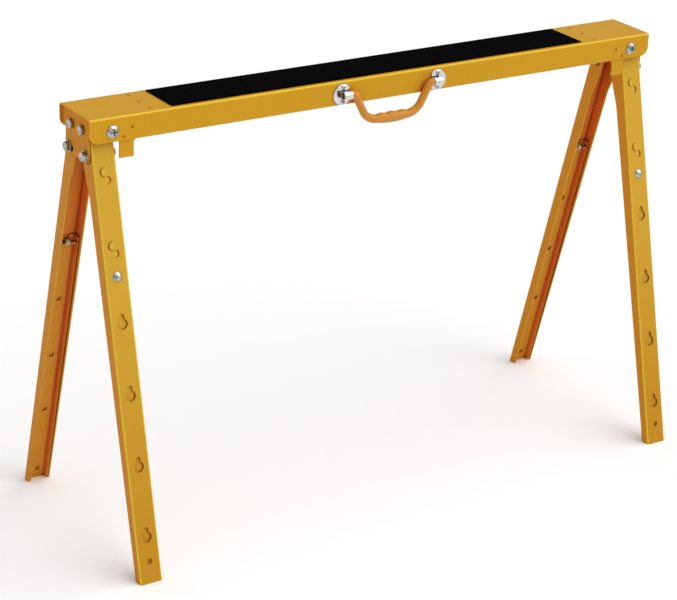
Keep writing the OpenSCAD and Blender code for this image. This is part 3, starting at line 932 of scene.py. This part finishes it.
class HexBolt(Hardware):
    """A hexagon-head bolt with a dished top, a washer face and a threaded end."""

    name = "hex_bolt"
    sizes = {
        "Across Flats": 13 * MM,
        "Head Height": 5.3 * MM,
        "Shank Radius": 4 * MM,
        "Shank Length": 45.1 * MM,
        "Thread Length": 20 * MM,
        "Dish Depth": 1.1 * MM,
        "Dish Radius": 8.95 * MM,
    }

    def draw(self) -> Socket:
        """Draws the dished head, its washer face, the plain shank, the core and the thread.

        Returns:
            The bolt.
        """
        flats, length, radius = self["Across Flats"], self["Shank Length"], self["Shank Radius"]
        height, dish, threaded = self["Head Height"], self["Dish Radius"], self["Thread Length"]
        sunk = self.math("SUBTRACT", self.math("ADD", height, dish), self["Dish Depth"])
        ball = self.lifted(self.ball(DISH_SEGMENTS, DISH_RINGS, dish), sunk)
        return self.joined(
            [
                self.cut("DIFFERENCE", [ball], self.hex_prism(flats, height)),
                self.cylinder(FACE_SIDES, self.times(flats, FACE_SHARE), FACE_DEPTH),
                self.shank(radius, self.math("SUBTRACT", length, threaded)),
                self.shank(self.times(radius, ROOT_SHARE), length),
                self.thread(radius, threaded, self.math("SUBTRACT", length, THREAD_END)),
            ]
        )


class HexNut(Hardware):
    """A hexagon nut with turned corners."""

    name = "hex_nut"
    sizes = {"Across Flats": 13 * MM, "Height": 5 * MM, "Bore Radius": 4 * MM}

    def draw(self) -> Socket:
        """Draws the prism and bores it with a drill that reaches well past both faces."""
        drill = self.cylinder(ROD_SIDES, self["Bore Radius"], self.times(self["Height"], 4.0))
        return self.cut("DIFFERENCE", [drill], self.hex_prism(self["Across Flats"], self["Height"]))


class PlainWasher(Hardware):
    """A flat washer with eased edges."""

    name = "plain_washer"
    sizes = {"Outer Radius": 9 * MM, "Inner Radius": 4.1 * MM, "Thickness": 1.6 * MM, "Edge Radius": 0.3 * MM}

    def draw(self) -> Socket:
        """Draws a rounded section round a circle.

        Returns:
            The washer.
        """
        outer, inner, thick = self["Outer Radius"], self["Inner Radius"], self["Thickness"]
        path = self.circle(WASHER_SIDES, self.times(self.math("ADD", outer, inner), 0.5))
        sizes = {"Width": self.math("SUBTRACT", outer, inner), "Height": thick}
        section = self.add("GeometryNodeCurvePrimitiveQuadrilateral", sizes).outputs[0]
        ease = {"Curve": section, "Radius": self["Edge Radius"]}
        eased = self.add("GeometryNodeFilletCurve", ease, mode="POLY").outputs[0]
        ring = self.add("GeometryNodeCurveToMesh", {"Curve": path, "Profile Curve": eased})
        return self.lifted(ring.outputs[0], self.times(thick, 0.5))


class RoundBolt(Hardware):
    """A round-head bolt with a square neck."""

    name = "round_bolt"
    sizes = {
        "Head Radius": 7.4 * MM,
        "Head Height": 4 * MM,
        "Dome Radius": 9.4 * MM,
        "Neck": 6.4 * MM,
        "Neck Length": 2 * MM,
        "Shank Radius": 3 * MM,
        "Shank Length": 11.7 * MM,
    }

    def draw(self) -> Socket:
        """Draws the head, the neck and the shank.

        Returns:
            The bolt.
        """
        width, length = self["Neck"], self["Neck Length"]
        neck = self.lifted(self.box(X=width, Y=width, Z=length), self.times(length, -0.5))
        rod = self.shank(self["Shank Radius"], self["Shank Length"])
        return self.joined([self.domed_head(), neck, rod])


class CrossScrew(Hardware):
    """A pan-head screw with a cross recess."""

    name = "cross_screw"
    sizes = {
        "Head Radius": 9.5 * MM,
        "Head Height": 4.5 * MM,
        "Dome Radius": 14.5 * MM,
        "Recess Width": 1.9 * MM,
        "Recess Span": 10.5 * MM,
        "Recess Depth": 2.4 * MM,
        "Shank Radius": 4 * MM,
        "Shank Length": 12.1 * MM,
    }

    def draw(self) -> Socket:
        """Draws the head, cuts the cross and adds the shank.

        Returns:
            The screw.
        """
        span, width = self["Recess Span"], self["Recess Width"]
        twice = self.times(self["Recess Depth"], 2.0)
        bars = [self.box(X=span, Y=width, Z=twice), self.box(X=width, Y=span, Z=twice)]
        cross = [self.lifted(bar, self["Head Height"]) for bar in bars]
        rod = self.shank(self["Shank Radius"], self["Shank Length"])
        return self.joined([self.cut("DIFFERENCE", cross, self.domed_head()), rod])


class Kit:
    """The trestle's materials and its kinds of fastener."""

    def __init__(self) -> None:
        """Builds the materials, then the fasteners."""
        effects = Effects()
        self.enamel = ENAMEL.build(effects)
        self.beam_enamel = BEAM_ENAMEL.build(effects)
        self.leg_enamel = LEG_ENAMEL.build(effects)
        self.grit = GRIT.build(effects)
        self.moulded = MOULDED.build(effects)
        self.plated = {plating: finish.build(effects) for plating, finish in PLATED.items()}
        self.bolt = HexBolt(self.plated)
        self.nut = HexNut(self.plated)
        self.washer = PlainWasher(self.plated)
        self.lock = RoundBolt(self.plated)
        self.screw = CrossScrew(self.plated)


# Sub-assemblies


@dataclass
class LegFrame:
    """Where one leg stands: its pivot, its lean and its own axes."""

    side: Side
    depth: Depth
    middle_x: float = 475 * MM
    pivot_y: float = 16.3 * MM
    pivot_z: float = 637.5 * MM
    lean_deg: float = 14.0
    lock_drop: float = 210 * MM

    @property
    def name(self) -> str:
        """The leg's name in node and body names."""
        return f"{self.depth.word}_{self.side.word}"

    def outward(self) -> Vector:
        """Gives the direction that the leg's web faces."""
        lean = math.radians(self.lean_deg)
        return Vector((0, self.depth.value * math.cos(lean), math.sin(lean)))

    def downward(self) -> Vector:
        """Gives the direction down the leg."""
        lean = math.radians(self.lean_deg)
        return Vector((0, self.depth.value * math.sin(lean), -math.cos(lean)))

    def at(self, x: float, out: float, down: float) -> Vector:
        """Places a point by its X, and by how far out and down the leg it is from the pivot."""
        pivot = Vector((self.side.value * x, self.depth.value * self.pivot_y, self.pivot_z))
        return pivot + self.outward() * out + self.downward() * down


@dataclass
class Crossbeam:
    """The beam, its saddles, fold screws and nuts."""

    half_w: float = 46 * MM
    fold_x: float = 464 * MM
    fold_z: float = 639 * MM
    nut_y: float = 40.9 * MM
    painted: tuple[str, ...] = ("crossbeam", "left_stop_saddle", "right_stop_saddle")

    def dress(self, kit: Kit) -> None:
        """Paints the sheet metal and fits the fold screws.

        Args:
            kit: The materials and fasteners.
        """
        for node in self.painted:
            paint_node(node, kit.beam_enamel)
        heads, nuts = [], []
        for side in Side:
            for depth in Depth:
                x, out = side.value * self.fold_x, Vector((0, depth.value, 0))
                heads.append(Seat(Vector((x, depth.value * self.half_w, self.fold_z)), out))
                nuts.append(Seat(Vector((x, depth.value * self.nut_y, self.fold_z)), -out))
        kit.screw.fit("fold_pivot_screws", "beam", Plating.ZINC, heads)
        kit.nut.fit("fold_pivot_nuts", "beam", Plating.YELLOW_ZINC, nuts)


@dataclass
class GripPad:
    """The black grit strip on the beam's top."""

    length: float = 734 * MM
    width: float = 77 * MM
    bottom: float = 660 * MM
    top: float = 662.5 * MM
    pitch: float = 2.6 * MM
    grit: float = 0.3 * MM
    edge: float = 0.7 * MM
    seed: int = 7
    sharp_deg: float = 60.0

    def build(self, kit: Kit) -> None:
        Dress("grip_pad", "beam", "pad", kit.grit, self.sharp_deg).put_on_shape(self.fill)

    def fill(self, work: Work) -> None:
        """Adds a gritty top, rolled edges, walls and a bottom.

        Args:
            work: The mesh to fill.
        """
        draw = random.Random(self.seed)
        columns = round(self.length / self.pitch)
        rows = round(self.width / self.pitch)
        grid: list[Loop] = []
        for i in range(columns + 1):
            line = []
            for j in range(rows + 1):
                rim = i in (0, columns) or j in (0, rows)
                drop = self.edge if rim else draw.random() * self.grit
                x = (i / columns - 0.5) * self.length
                y = (j / rows - 0.5) * self.width
                line.append(work.verts.new((x, y, self.top - drop)))
            grid.append(line)
        for i in range(columns):
            for j in range(rows):
                work.faces.new((grid[i][j], grid[i + 1][j], grid[i + 1][j + 1], grid[i][j + 1]))
        front, rear = [line[0] for line in grid], [line[rows] for line in grid]
        rim_line = front + grid[columns][1:] + rear[-2::-1] + grid[0][rows - 1 : 0 : -1]
        foot = [work.verts.new((v.co.x, v.co.y, self.bottom)) for v in rim_line]
        bridge(work, [rim_line, foot])
        work.faces.new(foot)


@dataclass
class HandleBracket:
    """One bright plate with a straight side and a rolled knuckle that the handle turns in."""

    side: Side
    middle_x: float = 85 * MM
    middle_z: float = 640 * MM
    back_y: float = -46 * MM
    front_y: float = -48 * MM
    plate_r: float = 16 * MM
    plate_flat: float = 11 * MM
    plate_ease: float = 0.6 * MM
    axis_y: float = -54 * MM
    knuckle_start: float = 73.7 * MM
    knuckle_end: float = 88.2 * MM
    knuckle_r: float = 6.5 * MM
    bore_r: float = 5.05 * MM
    neck: float = 4.4 * MM
    sunk: float = 0.5 * MM
    ease: float = 0.4 * MM
    screw_reach: float = 11.5 * MM
    plate_steps: int = 64
    neck_steps: int = 4
    roll_steps: int = 28
    sharp_deg: float = 35.0

    def build(self, kit: Kit) -> None:
        node, slot = f"{self.side.word}_handle_bracket", Plating.CHROME
        Dress(node, "beam", slot.value, kit.plated[slot], self.sharp_deg).put_on_shape(self.fill)

    def seats(self) -> list[Seat]:
        """Seats its two screws.

        Returns:
            The lower seat and the upper one.
        """
        x, out = self.side.value * self.middle_x, Vector((0, -1, 0))
        heights = (self.middle_z - self.screw_reach, self.middle_z + self.screw_reach)
        return [Seat(Vector((x, self.front_y, z)), out) for z in heights]

    def fill(self, work: Work) -> None:
        """Adds the plate and the knuckle."""
        self.fill_plate(work)
        self.fill_knuckle(work)

    def fill_plate(self, work: Work) -> None:
        """Adds the plate, with an eased front edge.

        Args:
            work: The mesh to fill.
        """
        eased_y = self.front_y + self.plate_ease
        loops = []
        for y, inset in ((self.back_y, 0.0), (eased_y, 0.0), (self.front_y, self.plate_ease)):
            radius, flat = self.plate_r - inset, self.plate_flat - inset
            start = math.acos(-flat / radius)
            loop = []
            for k in range(self.plate_steps + 1):
                angle = -start + 2 * start * k / self.plate_steps
                x = self.middle_x + radius * math.cos(angle)
                z = self.middle_z + radius * math.sin(angle)
                loop.append(work.verts.new((self.side.value * x, y, z)))
            loops.append(loop)
        loft(work, loops)

    def fill_knuckle(self, work: Work) -> None:
        """Adds the knuckle, a tube on a narrow neck, open at both ends.

        Args:
            work: The mesh to fill.
        """
        stations = (
            (self.knuckle_start, self.ease),
            (self.knuckle_start + self.ease, 0.0),
            (self.knuckle_end - self.ease, 0.0),
            (self.knuckle_end, self.ease),
        )
        reach = self.front_y + self.sunk - self.axis_y
        corner = math.atan2(self.neck, reach)
        throat = math.asin(self.neck / self.knuckle_r)
        half = [corner * k / self.neck_steps for k in range(self.neck_steps + 1)]
        half += [throat + (math.pi - throat) * k / self.roll_steps for k in range(self.roll_steps + 1)]
        angles = half + [2 * math.pi - angle for angle in reversed(half[1:-1])]
        skins, bores = [], []
        for x, cut in stations:
            skin, bore = [], []
            for angle in angles:
                towards, width = math.cos(angle), abs(math.sin(angle))
                out = self.knuckle_r
                if towards > 0 and width * self.knuckle_r < self.neck:
                    out = reach / towards
                    if width * out > self.neck:
                        out = self.neck / width
                for ring, radius in ((skin, out - cut), (bore, self.bore_r)):
                    y = self.axis_y + radius * towards
                    z = self.middle_z + radius * math.sin(angle)
                    ring.append(work.verts.new((self.side.value * x, y, z)))
            skins.append(skin)
            bores.append(bore)
        bridge(work, [*skins, *reversed(bores), skins[0]])


HANDLE_SCREW = {
    "Head Radius": 3.6 * MM,
    "Head Height": 2.4 * MM,
    "Dome Radius": 4.6 * MM,
    "Recess Width": 0.9 * MM,
    "Recess Span": 4.4 * MM,
    "Recess Depth": 1.3 * MM,
    "Shank Radius": 2 * MM,
    "Shank Length": 6 * MM,
}


@dataclass
class CarryHandle:
    """The moulded loop, with the brackets that carry it and their screws."""

    axis_y: float = -54 * MM
    axis_z: float = 640 * MM
    journal_x: float = 85.2 * MM
    journal_r: float = 4.9 * MM
    journal_ease: float = 0.5 * MM
    journal_end_share: float = 0.9
    shoulder_x: float = 73.4 * MM
    shoulder_step: float = 0.05 * MM
    shoulder_ease: float = 0.4 * MM
    shoulder_share: float = 0.95
    elbow_x: float = 72 * MM
    elbow_r: float = 8 * MM
    bend_r: float = 24 * MM
    slope_deg: float = 62.0
    arm_r: float = 6 * MM
    grip_drop: float = 42 * MM
    grip_low: float = 10.6 * MM
    grip_side: float = 8 * MM
    grip_high: float = 7 * MM
    grip_half: float = 45 * MM
    swell_power: float = 1.4
    wave_depth: float = 2 * MM
    wave_pitch: float = 19.4 * MM
    wave_fade: float = 2.5
    seam: float = 0.18 * MM
    seam_share: float = 0.09
    ring: int = 40
    arc_steps: int = 12
    grip_steps: int = 48
    sharp_deg: float = 50.0

    def dress(self, kit: Kit) -> None:
        """Makes the brackets, fits their screws and makes the loop.

        Args:
            kit: The materials and fasteners.
        """
        seats = []
        for bracket in (HandleBracket(side) for side in Side):
            bracket.build(kit)
            seats += bracket.seats()
        kit.screw.fit("handle_screws", "beam", Plating.CHROME, seats, HANDLE_SCREW)
        loop = Dress("carry_handle", "handle", "handle_plastic", kit.moulded, self.sharp_deg)
        loop.put_on_shape(self.sweep)

    def trace(self) -> list[tuple[Vector, Vector, float]]:
        """Lists the loop's stations from right to left.

        Returns:
            Each station's place in X and Z about the handle's axis, its direction and its radius.
        """
        slope = math.radians(self.slope_deg)
        sine, cosine = math.sin(slope), math.cos(slope)
        turned = self.elbow_r + self.bend_r
        arm = (self.grip_drop - turned * (1 - cosine)) / sine
        grip_x = self.elbow_x - turned * sine - arm * cosine
        half: list[tuple[Vector, Vector, float]] = []

        def station(x: float, z: float = 0.0, angle: float = 0.0, radius: float = self.arm_r) -> None:
            """Adds a station whose direction turns down by angle from -X."""
            half.append((Vector((x, z)), Vector((-math.cos(angle), -math.sin(angle))), radius))

        station(self.journal_x, radius=self.journal_r * self.journal_end_share)
        station(self.journal_x - self.journal_ease, radius=self.journal_r)
        station(self.shoulder_x + self.shoulder_step, radius=self.journal_r)
        station(self.shoulder_x, radius=self.arm_r * self.shoulder_share)
        station(self.shoulder_x - self.shoulder_ease)
        for k in range(self.arc_steps + 1):
            a = slope * k / self.arc_steps
            station(self.elbow_x - self.elbow_r * math.sin(a), -self.elbow_r * (1 - math.cos(a)), a)
        x0, z0 = self.elbow_x - self.elbow_r * sine, -self.elbow_r * (1 - cosine)
        for k in range(1, self.arc_steps):
            d = arm * k / self.arc_steps
            station(x0 - d * cosine, z0 - d * sine, slope)
        for k in range(self.arc_steps + 1):
            a = slope * (1 - k / self.arc_steps)
            station(grip_x + self.bend_r * math.sin(a), self.bend_r * (1 - math.cos(a)) - self.grip_drop, a)
        for k in range(1, self.grip_steps + 1):
            station(grip_x * (1 - k / self.grip_steps), -self.grip_drop)
        return half + [(Vector((-p.x, p.y)), Vector((t.x, -t.y)), r) for p, t, r in reversed(half[:-1])]

    def sweep(self, work: Work) -> None:
        """Adds the loop's skin, with finger waves and a fine parting line.

        Args:
            work: The mesh to fill.
        """
        rings: list[Loop] = []
        for place, along, radius in self.trace():
            normal = Vector((along.y, -along.x))
            if normal.y < 0:
                normal = -normal
            rings.append([work.verts.new(self.skin(place, normal, radius, k)) for k in range(self.ring)])
        loft(work, rings)

    def skin(self, place: Vector, normal: Vector, radius: float, index: int) -> Triple:
        """Places one point of the skin.

        Args:
            place: The station, in X and Z about the handle's axis.
            normal: The direction across the loop, in its own plane.
            radius: The section's radius there.
            index: The point's number round the section.

        Returns:
            The point.
        """
        angle = 2 * math.pi * index / self.ring
        across, sideways = math.cos(angle), math.sin(angle)
        on_seam = abs(sideways) < self.seam_share and radius > self.journal_r
        reach = radius + (self.seam if on_seam else 0.0)
        breadth = radius
        if place.y < -self.grip_drop / 2 and abs(place.x) < self.grip_half:
            swell = math.cos(place.x / self.grip_half * math.pi / 2) ** self.swell_power
            breadth += (self.grip_side - radius) * swell
            if across < 0:
                reach += (self.grip_low - radius) * swell
            else:
                dip = 0.5 - 0.5 * math.cos(2 * math.pi * place.x / self.wave_pitch)
                fade = min(1.0, swell * self.wave_fade)
                reach += (self.grip_high - radius) * swell - self.wave_depth * dip * fade * across
        x = place.x + normal.x * across * reach
        z = place.y + normal.y * across * reach
        return (x, self.axis_y + sideways * breadth, self.axis_z + z)


@dataclass
class EndBracket:
    """One folding end plate with its leg pivot bolts and nuts."""

    side: Side
    outer_x: float = 495.8 * MM
    nut_x: float = 456.7 * MM

    def dress(self, kit: Kit) -> None:
        """Paints the plate and fits the bolts that the legs turn on.

        Args:
            kit: The materials and fasteners.
        """
        word, out = self.side.word, Vector((self.side.value, 0, 0))
        paint_node(f"{word}_end_bracket", kit.enamel)
        legs = [LegFrame(self.side, depth) for depth in Depth]
        heads = [Seat(leg.at(self.outer_x, 0, 0), out) for leg in legs]
        nuts = [Seat(leg.at(self.nut_x, 0, 0), -out) for leg in legs]
        kit.bolt.fit(f"{word}_leg_pivot_bolts", f"{word}_bracket", Plating.ZINC, heads)
        kit.nut.fit(f"{word}_leg_pivot_nuts", f"{word}_bracket", Plating.YELLOW_ZINC, nuts)


@dataclass
class WingNut:
    """The wing nut on a leg's lock bolt."""

    place: LegFrame
    seat_out: float = 10.1 * MM
    hub_r: float = 5.5 * MM
    hub_h: float = 6 * MM
    hub_taper: float = 0.86
    hub_ease: float = 0.5 * MM
    hub_sides: int = 40
    bore_r: float = 3.05 * MM
    ear_root_share: float = 0.8
    ear_root_span: tuple[float, float] = (0.6 * MM, 4.6 * MM)
    ear_heel: tuple[float, float] = (3 * MM, 1.4 * MM)
    ear_reach: float = 12.4 * MM
    ear_top: float = 10.2 * MM
    ear_tip_r: float = 3.6 * MM
    ear_tip_deg: tuple[float, float] = (-50.0, 190.0)
    ear_tip_steps: int = 14
    ear_t: float = 2.4 * MM
    ear_levels: tuple[tuple[float, float], ...] = ((0.82, -0.5), (1.0, -0.3), (1.0, 0.3), (0.82, 0.5))
    sharp_deg: float = 35.0

    def build(self, kit: Kit) -> None:
        body, slot = f"{self.place.name}_wing", Plating.YELLOW_ZINC
        Dress(f"{body}_nut", body, slot.value, kit.plated[slot], self.sharp_deg).put_on_shape(self.fill)

    def fill(self, work: Work) -> None:
        """Adds the bored hub and two swept ears, then sets them on the leg.

        Args:
            work: The mesh to fill.
        """
        self.fill_hub(work)
        for way in (-1, 1):
            self.fill_ear(work, way)
        inward = -self.place.outward()
        across = Vector((1, 0, 0))
        seat = self.place.at(self.place.middle_x, self.seat_out, self.place.lock_drop)
        turn = Matrix((across, inward.cross(across), inward)).transposed().to_4x4()
        bmesh.ops.transform(work, matrix=Matrix.Translation(seat) @ turn, verts=work.verts[:])

    def fill_hub(self, work: Work) -> None:
        """Adds the hub as a turned ring.

        Args:
            work: The mesh to fill.
        """
        top_r, ease = self.hub_r * self.hub_taper, self.hub_ease
        outline = [
            (self.bore_r, 0.0),
            (self.hub_r - ease, 0.0),
            (self.hub_r, ease),
            (top_r, self.hub_h - ease),
            (top_r - ease, self.hub_h),
            (self.bore_r, self.hub_h),
        ]
        rings = []
        for k in range(self.hub_sides):
            angle = 2 * math.pi * k / self.hub_sides
            rings.append([work.verts.new((r * math.cos(angle), r * math.sin(angle), z)) for r, z in outline])
        bridge(work, [*rings, rings[0]])

    def fill_ear(self, work: Work, way: int) -> None:
        """Adds one ear, a rounded plate that sweeps up and outwards.

        Args:
            work: The mesh to fill.
            way: Which side of the hub it is on.
        """
        inner = self.hub_r * self.ear_root_share
        low, high = self.ear_root_span
        run, rise = self.ear_heel
        start, sweep = self.ear_tip_deg
        tip = Vector((self.ear_reach - self.ear_tip_r, self.ear_top - self.ear_tip_r))
        outline = [Vector((inner, low)), Vector((inner + run, rise))]
        for k in range(self.ear_tip_steps + 1):
            angle = math.radians(start + sweep * k / self.ear_tip_steps)
            outline.append(tip + Vector((math.cos(angle), math.sin(angle))) * self.ear_tip_r)
        outline.append(Vector((inner, high)))
        middle = sum(outline, Vector((0, 0))) / len(outline)
        loops = []
        for share, level in self.ear_levels:
            ring = [middle + (p - middle) * share for p in outline]
            loops.append([work.verts.new((way * p.x, level * self.ear_t, p.y)) for p in ring])
        loft(work, loops)


@dataclass
class Leg:
    """One telescoping leg with its spread bolt, lock bolt and wing nut."""

    place: LegFrame
    spread_drop: float = 37 * MM
    washer_x: float = 496.1 * MM
    head_x: float = 497.7 * MM
    nut_x: float = 456.7 * MM
    shank_l: float = 47 * MM
    web_out: float = 14.8 * MM

    def dress(self, kit: Kit) -> None:
        """Paints both channels and fits the leg's hardware.

        Args:
            kit: The materials and fasteners.
        """
        place, name, body = self.place, self.place.name, f"{self.place.name}_leg"
        for part in ("upper_leg", "lower_leg"):
            paint_node(f"{name}_{part}", kit.leg_enamel)
        out = Vector((place.side.value, 0, 0))

        def seat(x: float, facing: Vector) -> list[Seat]:
            """Seats one fastener on the spread bolt's axis."""
            return [Seat(place.at(x, 0, self.spread_drop), facing)]

        longer = {"Shank Length": self.shank_l}
        kit.bolt.fit(f"{name}_spread_bolt", body, Plating.ZINC, seat(self.head_x, out), longer)
        kit.washer.fit(f"{name}_spread_washer", body, Plating.ZINC, seat(self.washer_x, out))
        kit.nut.fit(f"{name}_spread_nut", body, Plating.YELLOW_ZINC, seat(self.nut_x, -out))
        face = Seat(place.at(place.middle_x, self.web_out, place.lock_drop), place.outward())
        kit.lock.fit(f"{name}_lock_bolt", body, Plating.ZINC, [face])
        WingNut(place).build(kit)


# Studio


@dataclass
class Studio:
    """The floor, the light and the camera."""

    floor_half: float = 14.0
    floor_colour: Colour = (0.985, 0.985, 0.985)
    floor_roughness: float = 0.9
    floor_specular: float = 0.1
    world_colour: Colour = (1.0, 1.0, 1.0)
    world_light: float = 0.54
    camera_place: Triple = (-1.8696, -2.6963, 1.6652)
    camera_turn_deg: Triple = (67.031, -2.399, -33.085)
    camera_lens: float = 121.07
    camera_sensor: float = 36.0
    camera_far: float = 60.0
    lamp_towards: Triple = (0.34, -0.26, 0.50)
    lamp_light: float = 0.66
    lamp_softness_deg: float = 75.0

    def build(self) -> None:
        """Sets up the whole studio."""
        scene = bpy.context.scene
        scene.view_settings.view_transform = "Standard"
        self.build_world(scene)
        self.build_floor()
        self.build_lamp()
        self.build_camera(scene)

    def build_world(self, scene: bpy.types.Scene) -> None:
        """Makes an even pale surround.

        Args:
            scene: The scene that it belongs to.
        """
        world = bpy.data.worlds.new("surround")
        scene.world = world
        world.use_nodes = True
        world.node_tree.nodes.clear()
        wiring = Wiring(world.node_tree)
        light = {"Color": opaque(self.world_colour), "Strength": self.world_light}
        shade = wiring.add("ShaderNodeBackground", light)
        wiring.add("ShaderNodeOutputWorld", {"Surface": shade.outputs[0]})

    def build_floor(self) -> None:
        """Lays a plain pale floor."""
        half = self.floor_half
        corners = [(-half, -half, 0), (half, -half, 0), (half, half, 0), (-half, half, 0)]
        mesh = bpy.data.meshes.new("studio_floor")
        mesh.from_pydata(corners, [], [(0, 1, 2, 3)])
        material = bpy.data.materials.new("pale_floor")
        material.use_nodes = True
        shader = material.node_tree.nodes["Principled BSDF"]
        shader.inputs["Base Color"].default_value = opaque(self.floor_colour)
        shader.inputs["Roughness"].default_value = self.floor_roughness
        shader.inputs["Specular IOR Level"].default_value = self.floor_specular
        mesh.materials.append(material)
        new_object("studio_floor", mesh)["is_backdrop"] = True

    def build_lamp(self) -> None:
        """Hangs one broad lamp, far enough away to light the whole floor evenly."""
        data = bpy.data.lights.new("key", "SUN")
        data.energy = self.lamp_light * math.pi
        data.angle = math.radians(self.lamp_softness_deg)
        lamp = new_object("key", data)
        lamp.rotation_euler = (-Vector(self.lamp_towards)).to_track_quat("-Z", "Y").to_euler()

    def build_camera(self, scene: bpy.types.Scene) -> None:
        """Sets the camera at the photograph's viewpoint.

        Args:
            scene: The scene that it belongs to.
        """
        data = bpy.data.cameras.new("viewpoint")
        data.sensor_width = self.camera_sensor
        data.lens = self.camera_lens
        data.clip_end = self.camera_far
        camera = new_object("viewpoint", data)
        camera.location = self.camera_place
        camera.rotation_euler = [math.radians(v) for v in self.camera_turn_deg]
        scene.camera = camera


def write_sizes() -> None:
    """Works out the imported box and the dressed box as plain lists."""
    boxes = {"cad": CAD_BOX, "visual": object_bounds()}
    plain = {name: [[float(v) for v in corner] for corner in box] for name, box in boxes.items()}


def main() -> None:
    """Builds the trestle's looks in order."""
    logging.basicConfig(level=logging.INFO, format="%(name)s: %(message)s")
    kit = Kit()
    Crossbeam().dress(kit)
    GripPad().build(kit)
    CarryHandle().dress(kit)
    for side in Side:
        EndBracket(side).dress(kit)
        for depth in Depth:
            Leg(LegFrame(side, depth)).dress(kit)
    Studio().build()
    write_sizes()


if __name__ == "__main__":
    main()
